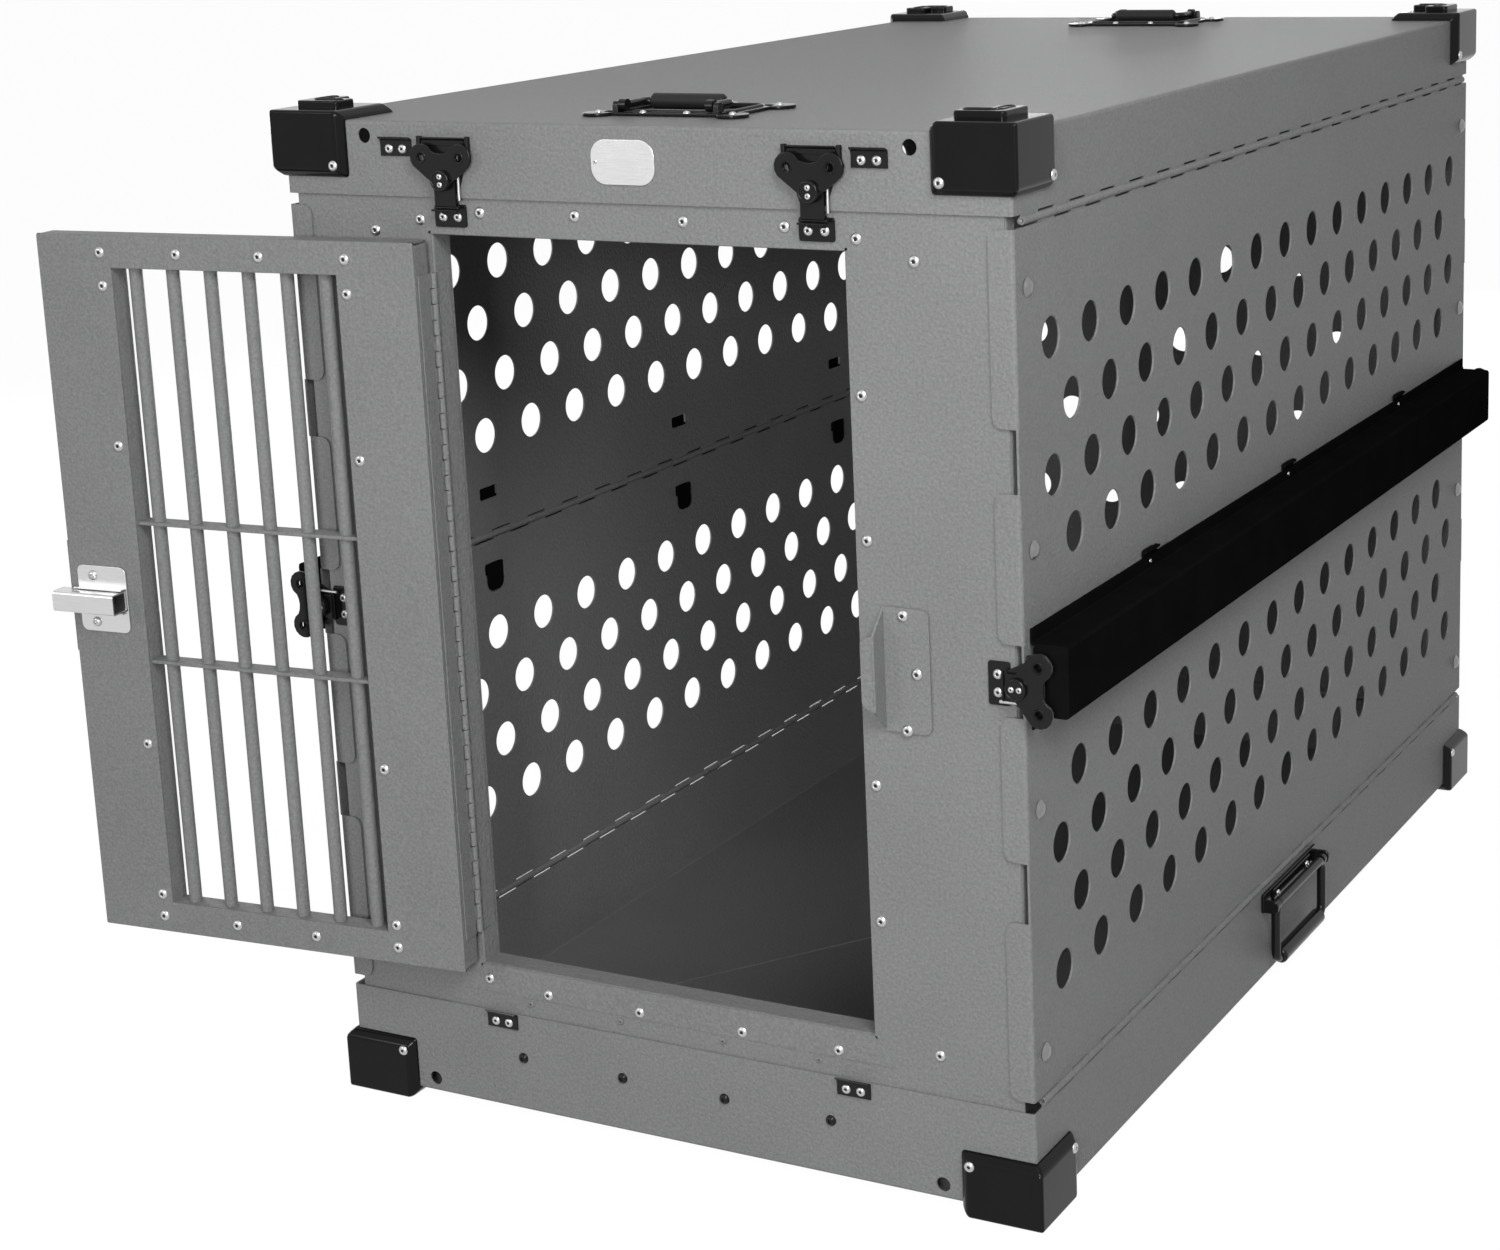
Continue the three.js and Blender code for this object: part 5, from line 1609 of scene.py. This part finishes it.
# %% World and lamps
LIGHT_LEVEL = 0.12
world = bpy.data.worlds.new("white studio")
bpy.context.scene.world = world
world.use_nodes = True
g = Graph(world.node_tree)
background = next(n for n in world.node_tree.nodes if n.type == "BACKGROUND")
strength = LIGHT_LEVEL + (1 - LIGHT_LEVEL) * seen_directly(g)
g.feed(background, Color=(1, 1, 1, 1), Strength=strength)


def softbox(name, place, target, size, power):
    lamp = bpy.data.lights.new(name, "AREA")
    lamp.shape, lamp.size, lamp.energy = "SQUARE", size, power
    holder = put(name, lamp)
    holder.location = place
    away = Vector(place) - Vector(target)
    holder.rotation_euler = away.to_track_quat("Z", "Y").to_euler()


softbox("overhead", (0.3, -0.8, 3.4), (0, 0, 0.5), 1.6, 6)
softbox("front left", (-2.2, -3.6, 1.8), (0, 0, 0.4), 1.0, 24)
softbox("front right", (1.4, -1.8, 1.9), (0.3, -0.6, 0.6), 0.9, 38)
softbox("doorway", (1.2, -3.6, 1.2), (-0.1, 0, 0.4), 0.7, 64)
softbox("left", (-3.2, 0.8, 1.0), (0, 0, 0.4), 1.0, 30)
softbox("rear", (-1.2, 3.6, 0.5), (0, 0, 0.4), 1.0, 40)
print("lamps:", len(bpy.data.lights))

# %% Camera
LENS, TURN, TILT, ROLL = 66.8, 27.7, 12.9, -2.0
camera = put("camera", bpy.data.cameras.new("camera"))
camera.data.sensor_width = 36
camera.data.lens = LENS
camera.data.shift_x = camera.data.shift_y = -0.1
camera.location = (1.160, -2.346, 1.040 + UNDERSIDE)
view = Matrix.Rotation(math.radians(TURN), 4, "Z") @ Matrix.Rotation(
    math.radians(90 - TILT), 4, "X") @ Matrix.Rotation(math.radians(ROLL), 4, "Z")
camera.rotation_euler = view.to_euler()
bpy.context.scene.camera = camera
bpy.context.scene.view_settings.view_transform = "Standard"
print("camera set")

# %% [markdown]
# ## Last look
# The triangles of all the pieces are counted. The dressed crate must stay inside the
# solid model's box.

# %% Count the triangles
print("triangles:", sum(triangles.values()), "in", len(triangles), "pieces")
